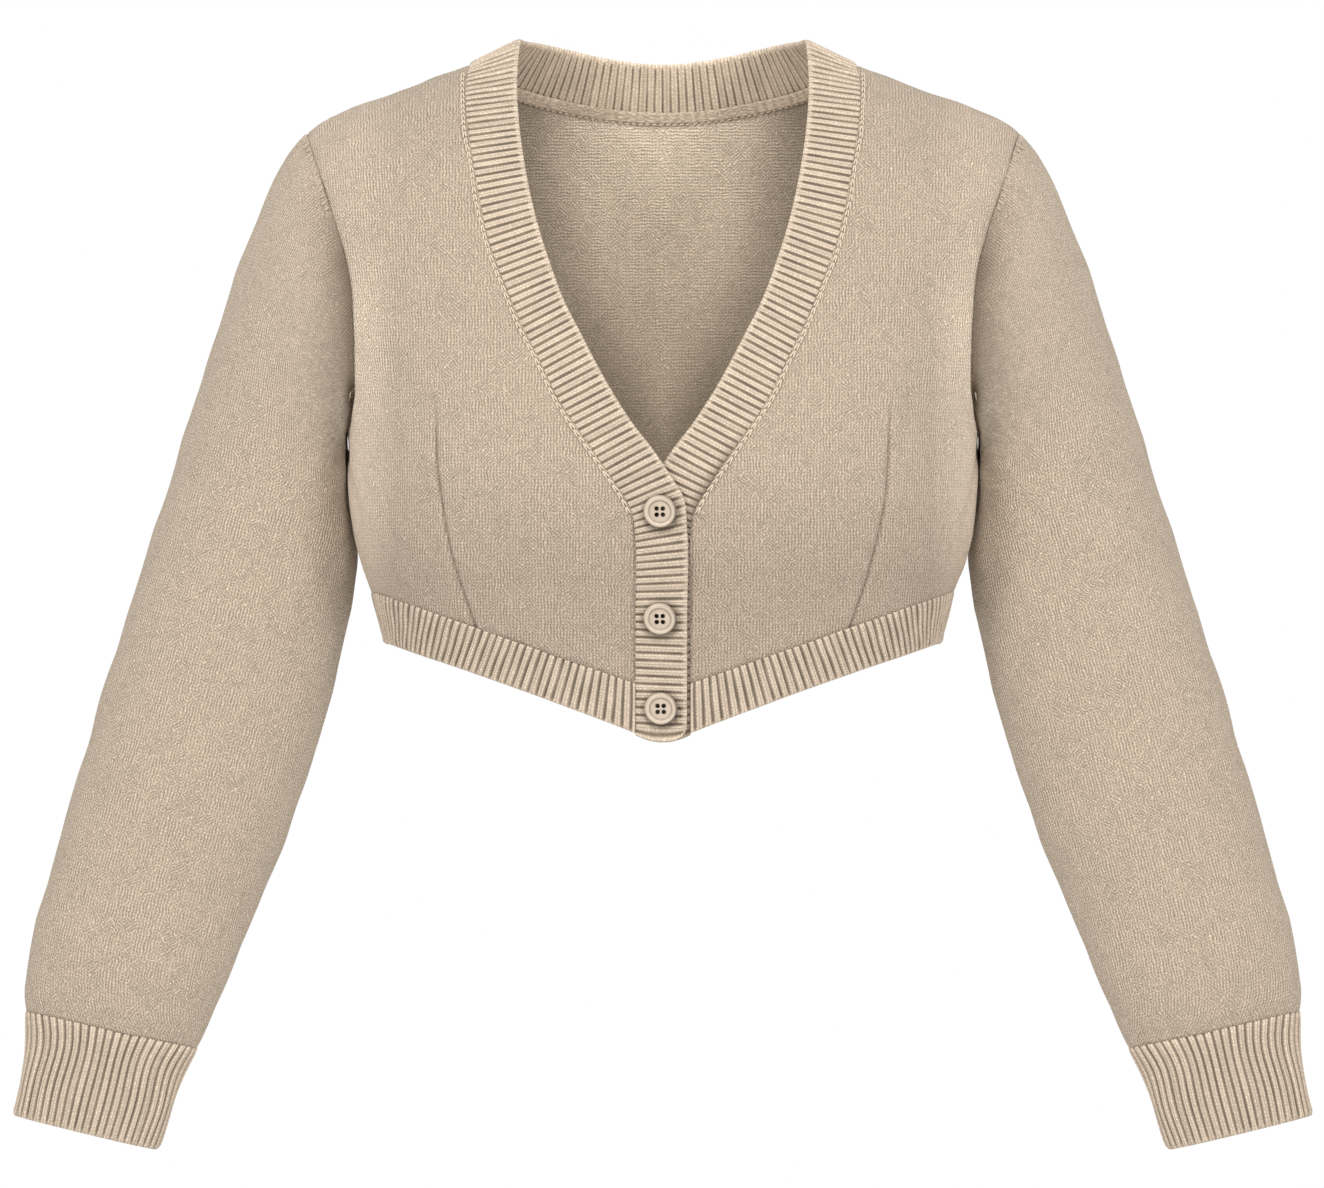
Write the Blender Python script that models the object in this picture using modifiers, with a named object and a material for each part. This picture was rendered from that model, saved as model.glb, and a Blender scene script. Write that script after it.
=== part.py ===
"""A cropped, long-sleeved cardigan in fine knit, hollow as if worn, buttoned over a low V neck.

+Z is up, the front faces -Y and +X is the wearer's left. The origin lies between the shoulder
seams' neck ends, where the wearer's shoulders hold the garment. Sizes and tables are in
millimetres; points become metres when a mesh is made.

The body's cloth follows one smooth surface, the outer face of the plain knit. A place on it is
named by its face (front or back), its share of the half width and its height. Panels, bands,
tape and buttons are all taken from that surface and moved in or out of it. The sleeves are
lofted from the armholes through a table of sections, and the cuffs continue them.
"""

import math

import bmesh
import bpy
import numpy as np
from mathutils import Matrix, Vector

MM = 0.001

# Cloth and seams
CLOTH = 2.0  # wall of the plain knit
SEAM = 0.3  # gap between pieces that are sewn together
RIB_CREST = 0.5  # a rib's crest, above the plain knit's outer face
RIB_VALLEY = -0.5
RIB_BACK = -2.1  # the plain back of a ribbed band
RIB_PITCH = 4.4
RIBS_PER_BACK_FACE = 2  # a band's plain back has one face for this many ribs
RIB_BACK_DRAWN_IN = 0.5  # its edges stay clear of the bends in a seam

# Body
ARCH = 70.0  # height over which the cloth rounds over the shoulders
RIDGE = 0.05  # what lies within this of the shoulder line is on it
SIDE_SEAM_Z = -290.0  # where the side seam meets the hem bands
HEM_SIDE_Z = -318.5
HEM_SEAM_SLOPE = 0.348  # the front's hem seam rises by this from the middle to the side
HEM_SLOPE = 0.362
HEM_SEAM_MIDDLE_Z = -345.0
HEM_MIDDLE_Z = -373.0
UNDERARM_Z = -201.0
SHOULDER_X = 196.0
NECK_X = 106.0  # half the distance between the shoulder seams' neck ends
PLACKET_X = 15.0  # from the middle to a front's seam with its band
PLACKET_BEND_Z = (-262.0, -226.0)  # the neckline turns from upright to slanting here
ARMHOLE_TURN_Z = -181.0  # the armhole turns from the underarm's curve to upright here

# Placket: the right band lies over the left one, each tilted from its seam to its free edge
LAP_LIFT = 2.9
LAP_Z = -222.0  # the bands cross here, at the point of the V
LAP_FADE = 45.0  # and are level again this far above it

# Dart: a seam line from the hem up to the fullest part of the front
DART_LOW = (103.0, -308.0)
DART_TOP = (124.0, -192.0)
DART_BOW = 6.0
DART_DEPTH = 0.9
DART_HALF_WIDTH = 3.0
FULLNESS = 4.0  # the dart's ease, spread round its top
FULLNESS_AT = (104.0, -212.0)
FULLNESS_REACH = (55.0, 62.0)

# Buttons
BUTTON_RADIUS = 9.0
BUTTON_HEIGHT = 3.2
BUTTON_HOLE_RADIUS = 1.0
BUTTON_HOLE_SPACING = 3.3
BUTTON_STEPS = 16
BUTTON_PLACES = ((-1.5, -246.0), (-1.5, -304.0), (-1.0, -353.0))

# Neck tape, over the seam inside the back neck
TAPE_ACROSS = (-0.11, 0.11)  # shares of the band's width either side of the seam
TAPE_FACES = (-2.5, -3.6)
TAPE_END_X = 86.0

# Sleeves
SLEEVE_CLEAR = 1.2  # from the body's side
SLEEVE_BEVEL = 2.0  # the wall's inner edge at the armhole, where it bends away from the body

# Grids
PLACKET_ROWS = 3
BEND_ROWS = 4
SIDE_ROWS = 6
ARMHOLE_ROWS = 9
UNDERARM_COLUMNS = 3
FRONT_COLUMNS = 9
DART_COLUMN = 5
NECK_COLUMNS = 8
SHOULDER_COLUMNS = 5
CUFF_RIBS = 56
DENSE = 240  # points of a curve before it is divided
CROWDING = 1.3  # rows lie closer together toward the shoulders

FRONT, BACK = "front", "back"
RIGHT, LEFT = -1, 1

# The body's horizontal sections. front and back are the depths at the middle, side is how far
# the widest line lies in front of the shoulder seams, and the n columns say how square the
# section is (2 is an ellipse).
BODY = (
    ("z", "half_width", "front", "back", "side", "front_n", "back_n"),
    (-385, 139.5, 83, 78, 4, 2.25, 2.15),
    (-345, 146.0, 91, 79, 5, 2.30, 2.15),
    (-318, 152.0, 98, 80, 6, 2.35, 2.20),
    (-302, 156.5, 103, 82, 7, 2.40, 2.20),
    (-288, 160.5, 107, 83, 8, 2.45, 2.20),
    (-276, 165.0, 111, 85, 9, 2.50, 2.20),
    (-262, 169.0, 115, 87, 10, 2.50, 2.20),
    (-243, 172.0, 119, 90, 11, 2.50, 2.20),
    (-223, 173.0, 121, 93, 11, 2.50, 2.25),
    (-201, 173.5, 119, 96, 10, 2.50, 2.30),
    (-180, 178.0, 115, 98, 8, 2.50, 2.40),
    (-150, 184.0, 108, 99, 6, 2.50, 2.45),
    (-110, 192.0, 97, 97, 4, 2.50, 2.50),
    (-75, 200.0, 84, 90, 2, 2.50, 2.50),
    (-38, 206.0, 67, 78, 0, 2.50, 2.50),
    (0, 207.0, 50, 64, 0, 2.50, 2.50),
    (30, 207.0, 40, 52, 0, 2.50, 2.50),
)

# The line of the shoulders and neck, seen from the front.
SHOULDER = (
    ("x", "z"),
    (0, 60.0),
    (30, 53.0),
    (50, 40.0),
    (65, 27.0),
    (78.6, 15.0),
    (92, 7.0),
    (106, 0.5),
    (123, -6.0),
    (145, -14.3),
    (172, -24.0),
    (184, -29.5),
    (196, -38.0),
    (207, -50.0),
)

# The armhole seam, seen from the front, from the underarm to the shoulder.
ARMHOLE = (
    ("x", "z"),
    (173.5, -201.0),
    (172.3, -198.5),
    (170.7, -193.0),
    (169.3, -183.0),
    (169.0, -167.0),
    (169.0, -146.0),
    (170.5, -125.0),
    (173.5, -109.0),
    (178.0, -91.0),
    (183.7, -75.0),
    (188.3, -61.0),
    (192.4, -49.0),
    (196.0, -38.0),
)

# The band from the hem to the shoulder, seen from the front: its seam and its free edge.
BAND_FRONT = (
    ("seam_x", "seam_z", "free_x", "free_z"),
    (15.0, -367.5, -12.8, -368.5),
    (15.0, -300.0, -13.0, -300.0),
    (15.0, -262.0, -13.0, -257.0),
    (16.5, -248.5, -11.0, -238.5),
    (21.0, -238.7, -4.5, -227.5),
    (29.0, -226.5, 4.8, -213.5),
    (40.4, -210.0, 17.0, -197.6),
    (56.1, -186.8, 31.8, -174.0),
    (67.4, -163.8, 44.0, -151.0),
    (78.1, -141.9, 54.6, -130.0),
    (86.5, -121.5, 61.5, -111.5),
    (93.5, -103.4, 67.2, -94.0),
    (99.0, -82.0, 72.0, -75.5),
    (103.0, -59.5, 76.0, -55.0),
    (106.8, -36.0, 79.0, -32.5),
    (108.3, -17.0, 80.2, -13.0),
    (107.6, -6.0, 79.8, 1.5),
    (106.0, 0.5, 78.6, 15.0),
)

# The band from the shoulder to the middle of the back neck.
BAND_BACK = (
    ("seam_x", "seam_z", "free_x", "free_z"),
    (106.0, 0.5, 78.6, 15.0),
    (101.0, -3.0, 76.2, 14.4),
    (93.0, -7.5, 72.0, 13.6),
    (80.0, -13.0, 65.0, 12.0),
    (64.0, -18.0, 53.0, 8.8),
    (46.0, -22.5, 39.0, 5.4),
    (28.0, -25.5, 24.0, 2.7),
    (12.0, -26.8, 10.5, 0.9),
    (0.0, -27.0, 0.0, 0.5),
)

# The sleeve's sections: its outer and inner edge seen from the front, how far its middle lies
# behind the shoulder seam, half its depth, and how much of the armhole's own shape it keeps.
SLEEVE = (
    ("outer_x", "outer_z", "inner_x", "inner_z", "behind", "half_depth", "armhole"),
    (196.0, -38.0, 173.5, -201.0, 2, 61, 1.0),
    (201.5, -43.5, 174.2, -204.5, 1, 61, 0.85),
    (207.5, -51.5, 174.0, -208.5, 1, 60.5, 0.62),
    (217.5, -70.5, 173.0, -213.5, 2, 59, 0.36),
    (230.5, -102.9, 171.6, -219.5, 5, 56, 0.14),
    (244.2, -142.5, 170.2, -227.0, 9, 53, 0.03),
    (256.9, -182.0, 169.4, -237.0, 13, 50, 0.0),
    (269.5, -221.7, 168.9, -253.0, 17, 47, 0.0),
    (282.2, -261.3, 168.0, -276.0, 19, 45, 0.0),
    (294.8, -300.9, 176.0, -319.0, 20, 43, 0.0),
    (307.5, -340.5, 187.6, -364.7, 19, 41.5, 0.0),
    (319.0, -380.0, 201.9, -408.7, 16, 40, 0.0),
    (330.6, -419.7, 217.3, -450.5, 13, 38.5, 0.0),
    (341.6, -459.3, 234.0, -489.0, 9, 36.5, 0.0),
    (348.9, -489.5, 244.6, -514.0, 6, 34.5, 0.0),
    (351.4, -507.0, 250.6, -530.0, 5, 30.5, 0.0),
    (350.3, -520.0, 256.2, -540.8, 4, 24.5, 0.0),
)

CUFF = (
    ("outer_x", "outer_z", "inner_x", "inner_z", "behind", "half_depth"),
    (350.3, -520.0, 256.2, -540.8, 4, 24.5),
    (350.2, -542.5, 266.6, -560.5, 2, 20.0),
    (357.0, -575.9, 277.8, -595.1, 0, 18.0),
)


# --- Curves and the body's surface -------------------------------------------------------------


def columns_of(table):
    """A table's columns by name, as arrays."""
    return dict(zip(table[0], np.array(table[1:], float).T))


def smooth(xs, ys, at):
    """Where a smooth curve through the points (xs, ys) is at these places."""
    at = np.clip(at, xs[0], xs[-1])
    slopes = np.gradient(ys, xs)
    i = np.clip(np.searchsorted(xs, at) - 1, 0, len(xs) - 2)
    step = xs[i + 1] - xs[i]
    t = (at - xs[i]) / step
    return (
        ys[i] * (1 + 2 * t) * (1 - t) ** 2
        + ys[i + 1] * (3 - 2 * t) * t**2
        + step * t * (1 - t) * (slopes[i] * (1 - t) - slopes[i + 1] * t)
    )


SECTIONS = columns_of(BODY)
SHOULDER_LINE = columns_of(SHOULDER)


def section(name, z):
    return smooth(SECTIONS["z"], SECTIONS[name], z)


def shoulder_z(x):
    return smooth(SHOULDER_LINE["x"], SHOULDER_LINE["z"], np.abs(x))


def fullness(x, z):
    """How far the dart's ease pushes the front out."""
    across = (np.abs(x) - FULLNESS_AT[0]) / FULLNESS_REACH[0]
    up = (z - FULLNESS_AT[1]) / FULLNESS_REACH[1]
    return FULLNESS * np.exp(-(across**2) - up**2)


def surface(face, share, z, out=0.0):
    """The body's outer face, moved out: share is x over the half width, -1 to 1."""
    share, z, out = np.broadcast_arrays(share, z, out)
    half_width = section("half_width", z)
    x = half_width * share
    z = np.minimum(z, shoulder_z(x))
    below = np.clip((shoulder_z(x) - z - RIDGE) / ARCH, 0, 1)
    arch = np.sqrt(1 - (1 - below) ** 2)
    n = section(face + "_n", z)
    forward = section("side", z)
    middle = section(face, z) - (forward if face == FRONT else -forward)
    bulge = fullness(x, z) if face == FRONT else 0.0
    depth = (middle + out) * (1 - np.abs(share) ** n) ** (1 / n) * arch + bulge * arch
    depth *= np.where(np.abs(share) < 1, 1, 0)
    toward = -1 if face == FRONT else 1
    points = ((half_width + out) * share, toward * depth - forward, z + out * (1 - below))
    return np.stack(points, axis=-1)


def turn_of(face, x, z):
    """The angle round the section of a place seen from the front at x, z: 0 at the middle."""
    share = np.clip(np.abs(x) / section("half_width", z), 0, 1)
    return np.arcsin(share ** (section(face + "_n", z) / 2))


def share_of(face, turn, z):
    return np.sin(turn) ** (2 / section(face + "_n", z))


def through(points):
    """A dense smooth curve through points of any dimension."""
    points = np.array(points, float)
    along = np.concatenate([[0], np.cumsum(np.linalg.norm(np.diff(points, axis=0), axis=1))])
    at = np.linspace(0, along[-1], DENSE)
    return np.stack([smooth(along, points[:, k], at) for k in range(points.shape[1])], axis=-1)


def evenly(face, places, count, crowding=1.0):
    """count + 1 places, as (turn, z), along a dense curve of (x, z) on a face.

    They are evenly spaced, or closer together toward the curve's end where crowding is over 1.
    """
    x, z = places.T
    turn = turn_of(face, x, z)
    points = surface(face, share_of(face, turn, z), z)
    along = np.concatenate([[0], np.cumsum(np.linalg.norm(np.diff(points, axis=0), axis=1))])
    at = along[-1] * (1 - np.linspace(1, 0, count + 1) ** crowding)
    return np.stack([np.interp(at, along, turn), np.interp(at, along, z)], axis=-1)


def chained(*runs):
    """Runs of places, each starting where the one before ends, as one run."""
    return np.concatenate([runs[0]] + [run[1:] for run in runs[1:]])


def patch(bottom, outer, top, inner):
    """The (turn, z) grid between four edges: rows go up, columns go out."""
    u = np.linspace(0, 1, len(bottom))[None, :, None]
    v = np.linspace(0, 1, len(inner))[:, None, None]
    corners = (
        (1 - u) * (1 - v) * bottom[0]
        + u * (1 - v) * bottom[-1]
        + (1 - u) * v * top[0]
        + u * v * top[-1]
    )
    return (
        (1 - v) * bottom[None]
        + v * top[None]
        + (1 - u) * inner[:, None]
        + u * outer[:, None]
        - corners
    )


# --- Edges shared by the pieces, as (turn, z) ---------------------------------------------------


def length_along(points):
    """The distance of each point from the first, along their polyline."""
    return np.concatenate([[0], np.cumsum(np.linalg.norm(np.diff(points, axis=0), axis=1))])


def on_face(face, turns, out=0.0):
    """Points of the body's surface at these (turn, z)."""
    turn, z = turns[..., 0], turns[..., 1]
    share = np.sign(turn) * share_of(face, np.abs(turn), z)
    return surface(face, share, z, out)


def spots(points, shares):
    """The places at these shares of a polyline's length, as its numbers of segments."""
    along = length_along(points)
    return np.interp(shares * along[-1], along, np.arange(len(points)))


def seam_points(face, edge, spot, out):
    """Points on the straight segments between an edge's points, all moved out."""
    first = np.clip(np.floor(spot).astype(int), 0, len(edge) - 2)
    part = (spot - first)[:, None]
    one, other = (on_face(face, edge[first + k], out) for k in (0, 1))
    return (1 - part) * one + part * other


def hem_seam_z(face, x):
    slant = HEM_SEAM_MIDDLE_Z + HEM_SEAM_SLOPE * np.abs(x)
    return np.minimum(slant, SIDE_SEAM_Z) if face == FRONT else SIDE_SEAM_Z + 0 * x


def hem_z(face, x):
    slant = HEM_MIDDLE_Z + HEM_SLOPE * np.abs(x)
    return np.minimum(slant, HEM_SIDE_Z) if face == FRONT else HEM_SIDE_Z + 0 * x


def hem_seam(face, start_x, end_x, columns):
    """The seam with the hem band, between two places."""
    x = np.linspace(start_x, end_x, DENSE)
    return evenly(face, np.stack([x, hem_seam_z(face, x)], axis=-1), columns)


def back_hem_seam():
    side_x = section("half_width", SIDE_SEAM_Z)
    return hem_seam(BACK, 0, side_x, NECK_COLUMNS + SHOULDER_COLUMNS + UNDERARM_COLUMNS)


def front_hem_seam():
    """The front's hem seam, with a point where the dart meets it."""
    side_x = section("half_width", SIDE_SEAM_Z)
    outer_columns = FRONT_COLUMNS + UNDERARM_COLUMNS - DART_COLUMN
    return chained(
        hem_seam(FRONT, PLACKET_X, DART_LOW[0], DART_COLUMN),
        hem_seam(FRONT, DART_LOW[0], side_x, outer_columns),
    )


def side_seam():
    z = np.linspace(SIDE_SEAM_Z, UNDERARM_Z, SIDE_ROWS + 1)
    return np.stack([np.full(len(z), math.pi / 2), z], axis=-1)


def armhole_places():
    table = columns_of(ARMHOLE)
    return through(np.stack([table["x"], table["z"]], axis=-1))


def underarm_edge(face):
    """The armhole from its turn down to the underarm."""
    places = armhole_places()
    return evenly(face, places[places[:, 1] <= ARMHOLE_TURN_Z][::-1], UNDERARM_COLUMNS)


def armhole_edge(face):
    """The armhole from its turn up to the shoulder."""
    start = underarm_edge(face)[:1]
    places = armhole_places()
    rest = evenly(face, places[places[:, 1] > ARMHOLE_TURN_Z], ARMHOLE_ROWS, CROWDING)
    return chained(start, rest)


def shoulder_seam(columns):
    x = np.linspace(NECK_X, SHOULDER_X, DENSE)
    return evenly(FRONT, np.stack([x, shoulder_z(x)], axis=-1), columns)


def band_seam(table, face, lowest_z=-math.inf, highest_z=math.inf, count=1, crowding=1.0):
    """The seam with the neck band, between two heights."""
    seam = through(np.array(table[1:], float)[:, :2])
    seam = seam[(seam[:, 1] >= lowest_z) & (seam[:, 1] <= highest_z)]
    return evenly(face, seam, count, crowding)


def front_band_seam():
    """The front's seam with its band, in the rows of the front."""
    low, high = PLACKET_BEND_Z
    start_z = hem_seam_z(FRONT, PLACKET_X)
    rows_left = SIDE_ROWS + ARMHOLE_ROWS - PLACKET_ROWS - BEND_ROWS
    return chained(
        np.array([[turn_of(FRONT, PLACKET_X, start_z), start_z]]),
        band_seam(BAND_FRONT, FRONT, start_z, low, PLACKET_ROWS),
        band_seam(BAND_FRONT, FRONT, low, high, BEND_ROWS),
        band_seam(BAND_FRONT, FRONT, high, math.inf, rows_left, CROWDING),
    )


def back_band_seam():
    """The back's seam with its band, from the shoulder to the middle."""
    return band_seam(BAND_BACK, BACK, count=NECK_COLUMNS)


# --- Meshes ------------------------------------------------------------------------------------


def quads(grid, closed=False):
    """Faces between the points of a grid, numbered row by row, where all four are real."""
    rows, columns = grid.shape[:2]
    real = ~np.isnan(grid[..., 0])
    faces = []
    for i in range(rows - 1):
        for j in range(columns if closed else columns - 1):
            k = (j + 1) % columns
            if real[i, j] and real[i, k] and real[i + 1, k] and real[i + 1, j]:
                face = ((i, j), (i, k), (i + 1, k), (i + 1, j))
                faces.append(tuple(r * columns + c for r, c in face))
    return faces


def edge_of(faces):
    """The directed edges that only one face has."""
    edges = {(f[k - 1], f[k]): f for f in faces for k in range(len(f))}
    return {pair: face for pair, face in edges.items() if pair[::-1] not in edges}


def draw_in(grid, closed=False, distance=SEAM / 2):
    """Moves the free edges of a grid of points back into it, square to each of them."""
    points = grid.reshape(-1, 3)
    pulls = {}
    for (a, b), face in edge_of(quads(grid, closed)).items():
        along = (points[b] - points[a]) / np.linalg.norm(points[b] - points[a])
        inward = points[list(face)].mean(axis=0) - points[a]
        inward = inward - (inward @ along) * along
        inward /= np.linalg.norm(inward)
        pulls.setdefault(a, []).append(inward)
        pulls.setdefault(b, []).append(inward)
    for point, (one, other) in pulls.items():
        points[point] += distance * (one + other) / (1 + one @ other)
    return points.reshape(grid.shape)


def close_wall(name, outer, inner, faces, material):
    """An object of these points and faces, turned so that its faces point out."""
    points = np.concatenate([outer.reshape(-1, 3), inner.reshape(-1, 3)])
    used = sorted({corner for face in faces for corner in face})
    number = {corner: k for k, corner in enumerate(used)}
    points = points[used] * MM
    faces = [tuple(number[corner] for corner in face) for face in faces]
    volume = sum(
        points[f[0]] @ np.cross(points[f[k]], points[f[k + 1]])
        for f in faces
        for k in range(1, len(f) - 1)
    )
    if volume < 0:
        faces = [(f[0], *f[:0:-1]) for f in faces]
    mesh = bpy.data.meshes.new(name)
    mesh.from_pydata(points.tolist(), [], faces)
    mesh.shade_smooth()
    mesh.set_sharp_from_angle(angle=math.radians(35))
    piece = bpy.data.objects.new(name, mesh)
    garment.objects.link(piece)
    mesh.materials.append(material)
    return piece


def plain_wall(name, outer, inner, material, closed=False):
    """A wall of cloth between two grids of the same size, closed along their edges."""
    front = quads(outer, closed)
    back = outer.shape[0] * outer.shape[1]
    faces = front + [tuple(back + f[k] for k in (0, 3, 2, 1)) for f in front]
    faces += [(b, a, back + a, back + b) for a, b in edge_of(front)]
    return close_wall(name, outer, inner, faces, material)


def ribbed_wall(name, rows_at, columns, material, closed=False):
    """A ribbed wall: rows_at(columns, out) gives its grid of points at those columns.

    Its plain back has fewer columns than its ribs.
    """
    stride = 2 * RIBS_PER_BACK_FACE
    every = np.arange(columns if closed else columns + 1)
    crests = np.where(every % 2 == 0, RIB_CREST, RIB_VALLEY)
    outer = draw_in(rows_at(every, crests), closed)
    behind = every[::stride]
    plain = rows_at(behind, np.full(len(behind), RIB_BACK))
    inner = draw_in(plain, closed, RIB_BACK_DRAWN_IN)
    back = outer.shape[0] * outer.shape[1]
    faces = quads(outer, closed)
    faces += [tuple(back + f[k] for k in (0, 3, 2, 1)) for f in quads(inner, closed)]
    last, inner_last = outer.shape[0] - 1, inner.shape[0] - 1
    for k in range(columns // stride):
        ribs = [j % len(every) for j in range(k * stride, (k + 1) * stride + 1)]
        ends = (k, (k + 1) % len(behind))
        for row, under, turned in ((0, back, 1), (last, back + inner_last * len(behind), -1)):
            rim = [row * len(every) + j for j in ribs]
            one, other = (under + end for end in ends)
            fan = [(rim[j + 1], rim[j], one if j < stride // 2 else other) for j in range(stride)]
            fan.append((rim[stride // 2], one, other))
            faces += [face[::turned] for face in fan]
    if not closed:
        first, second = range(last + 1), range(inner_last + 1)
        for column, behind_column, flip in ((0, 0, 1), (columns, len(behind) - 1, -1)):
            rim = [row * len(every) + column for row in first][::flip]
            rim += [back + row * len(behind) + behind_column for row in second][::-flip]
            faces.append(tuple(rim))
    return close_wall(name, outer, inner, faces, material)


def rib_count(length):
    """The number of ribs nearest the pitch that the band's plain back divides evenly."""
    return RIBS_PER_BACK_FACE * max(1, round(length / RIB_PITCH / RIBS_PER_BACK_FACE))


# --- Body panels -------------------------------------------------------------------------------


def panel(face, hem, shoulder, inner):
    """A half panel's (turn, z) grid, rows up and columns out: above the underarm it is narrower.

    hem and shoulder are its lower and upper edge and inner the edge that joins them.
    """
    across = len(shoulder) - 1
    under, armhole, side = underarm_edge(face), armhole_edge(face), side_seam()
    part = np.linspace(0, 1, across + 1)[:, None]
    chest = inner[SIDE_ROWS] * (1 - part) + under[0] * part
    grid = np.full((len(inner), len(hem), 2), np.nan)
    grid[: SIDE_ROWS + 1] = patch(hem, side, chained(chest, under), inner[: SIDE_ROWS + 1])
    grid[SIDE_ROWS:, : across + 1] = patch(chest, armhole, shoulder, inner[SIDE_ROWS:])
    return grid


def follow_dart(grid):
    """Turns one column of a front's grid onto the dart and adds a narrow column each side."""
    low, top = np.array(DART_LOW), np.array(DART_TOP)
    z = grid[:, DART_COLUMN, 1]
    rise = np.clip((z - low[1]) / (top[1] - low[1]), 0, 1)
    x = low[0] + (top[0] - low[0]) * rise + DART_BOW * np.sin(math.pi * rise)
    above = np.clip((z - top[1]) / (z[-1] - top[1]), 0, 1)
    target = turn_of(FRONT, x, z) * (1 - above) + grid[:, DART_COLUMN, 0] * above
    last = np.where(np.isnan(grid[:, -1, 0]), FRONT_COLUMNS, grid.shape[1] - 1)
    column = np.arange(grid.shape[1])
    reach = np.where(column < DART_COLUMN, DART_COLUMN, last[:, None] - DART_COLUMN)
    nearness = np.clip(1 - np.abs(column - DART_COLUMN) / reach, 0, 1)
    grid[:, :, 0] += (target - grid[:, DART_COLUMN, 0])[:, None] * nearness
    beside = []
    for step in (grid[:, DART_COLUMN + k] - grid[:, DART_COLUMN] for k in (-1, 1)):
        part = DART_HALF_WIDTH / section("half_width", z) / np.abs(step[:, 0])
        beside.append(grid[:, DART_COLUMN] + step * part[:, None])
    return np.insert(grid, (DART_COLUMN, DART_COLUMN + 1), np.stack(beside, axis=1), axis=1)


def dart_groove(grid):
    """How far the dart's seam pulls the cloth in, at each point of a front's grid."""
    groove = np.zeros(grid.shape[:2])
    rise = (grid[:, DART_COLUMN + 1, 1] - DART_LOW[1]) / (DART_TOP[1] - DART_LOW[1])
    groove[:, DART_COLUMN + 1] = DART_DEPTH * np.clip(4 * (1 - rise), 0, 1)
    return groove


def front_grid():
    plain = panel(FRONT, front_hem_seam(), shoulder_seam(FRONT_COLUMNS), front_band_seam())
    return follow_dart(plain)


def make_front(name, side, material):
    grid = front_grid()
    outer = on_face(FRONT, grid, -dart_groove(grid))
    inner = on_face(FRONT, grid, -CLOTH)
    outer[..., 0] *= side
    inner[..., 0] *= side
    return plain_wall(name, draw_in(outer), draw_in(inner), material)


def make_back(name, material):
    neck = back_band_seam()[::-1]
    part = np.linspace(1, 0, SIDE_ROWS + ARMHOLE_ROWS + 1)[:, None] ** CROWDING
    middle = neck[0] + (np.array([0, SIDE_SEAM_Z]) - neck[0]) * part
    shoulder = chained(neck, shoulder_seam(SHOULDER_COLUMNS))
    half = panel(BACK, back_hem_seam(), shoulder, middle)
    grid = np.concatenate([half[:, :0:-1] * [-1, 1], half], axis=1)
    outer, inner = on_face(BACK, grid), on_face(BACK, grid, -CLOTH)
    return plain_wall(name, draw_in(outer), draw_in(inner), material)


# --- Ribbed bands and tape on the body ---------------------------------------------------------


def make_hem(name, face, side, material):
    """A hem band, from a front's placket or from the other side seam to its own side seam."""
    if face == FRONT:
        seam = front_grid()[0]
    else:
        half = back_hem_seam()
        seam = chained(half[::-1] * [-1, 1], half)
    first, last = seam[0, 0], seam[-1, 0]
    placket_z = hem_z(FRONT, PLACKET_X)
    lower_first = turn_of(FRONT, PLACKET_X, placket_z) if face == FRONT else first
    points = on_face(face, seam)
    ribs = rib_count(length_along(points)[-1])

    def rows_at(columns, out):
        spot = spots(points, columns / (2 * ribs))
        turn = np.interp(spot, np.arange(len(seam)), seam[:, 0])
        turn = lower_first + (turn - first) * (last - lower_first) / (last - first)
        share = share_of(face, np.abs(turn), np.full(len(turn), HEM_SIDE_Z))
        lower = np.stack([turn, hem_z(face, share * section("half_width", HEM_SIDE_Z))], axis=-1)
        grid = np.stack([seam_points(face, seam, spot, out), on_face(face, lower, out)])
        grid[..., 0] *= side
        return grid

    return ribbed_wall(name, rows_at, 2 * ribs, material)


def band_edge():
    """Half the band's seam, from a front's hem to the middle of the back, and the front's part."""
    low_x, low_z = BAND_FRONT[1][:2]
    low = np.array([[turn_of(FRONT, low_x, low_z), low_z]])
    front = np.concatenate([low, front_band_seam()])
    return np.concatenate([front, back_band_seam()[1:]]), len(front) - 1


def band_stations():
    """The band from the right front's end to the left one's, as rows.

    A row has the spot on the seam, the free edge's turn and z, the lift and the side.
    """
    edge, front_count = band_edge()
    halves = []
    for face, table in ((FRONT, BAND_FRONT), (BACK, BAND_BACK)):
        places = through(np.array(table[1:], float))
        seam = np.stack([turn_of(face, places[:, 0], places[:, 1]), places[:, 1]], axis=-1)
        along = length_along(on_face(face, seam))
        part = edge[: front_count + 1] if face == FRONT else edge[front_count:]
        spot = spots(on_face(face, part), along / along[-1])
        free_x, free_z = places[:, 2:].T
        free_turn = np.sign(free_x) * turn_of(face, free_x, free_z)
        fade = np.clip((LAP_Z + LAP_FADE - free_z) / LAP_FADE, 0, 1)
        lift = (3 - 2 * fade) * fade**2 * (LAP_LIFT if face == FRONT else 0)
        spot += 0 if face == FRONT else front_count
        halves.append(np.column_stack([spot, free_turn, free_z, lift, 1 + 0 * lift]))
    half = np.concatenate([halves[0], halves[1][1:]])
    return np.concatenate([half * [1, 1, 1, 1, RIGHT], half[::-1] * [1, 1, 1, -1, LEFT]])


def band_rows(stations, out):
    """The band's seam and its free edge at some of its stations."""
    edge, front_count = band_edge()
    spot, free, lift, side = stations[:, 0], stations[:, 1:3], stations[:, 3], stations[:, 4]
    rows = []
    for face in (FRONT, BACK):
        rows.append([seam_points(face, edge, spot, out), on_face(face, free, out + lift)])
    rows = np.where((spot < front_count)[:, None], rows[0], rows[1])
    rows[..., 0] *= np.where(side < 0, RIGHT, LEFT)
    return rows


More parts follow.
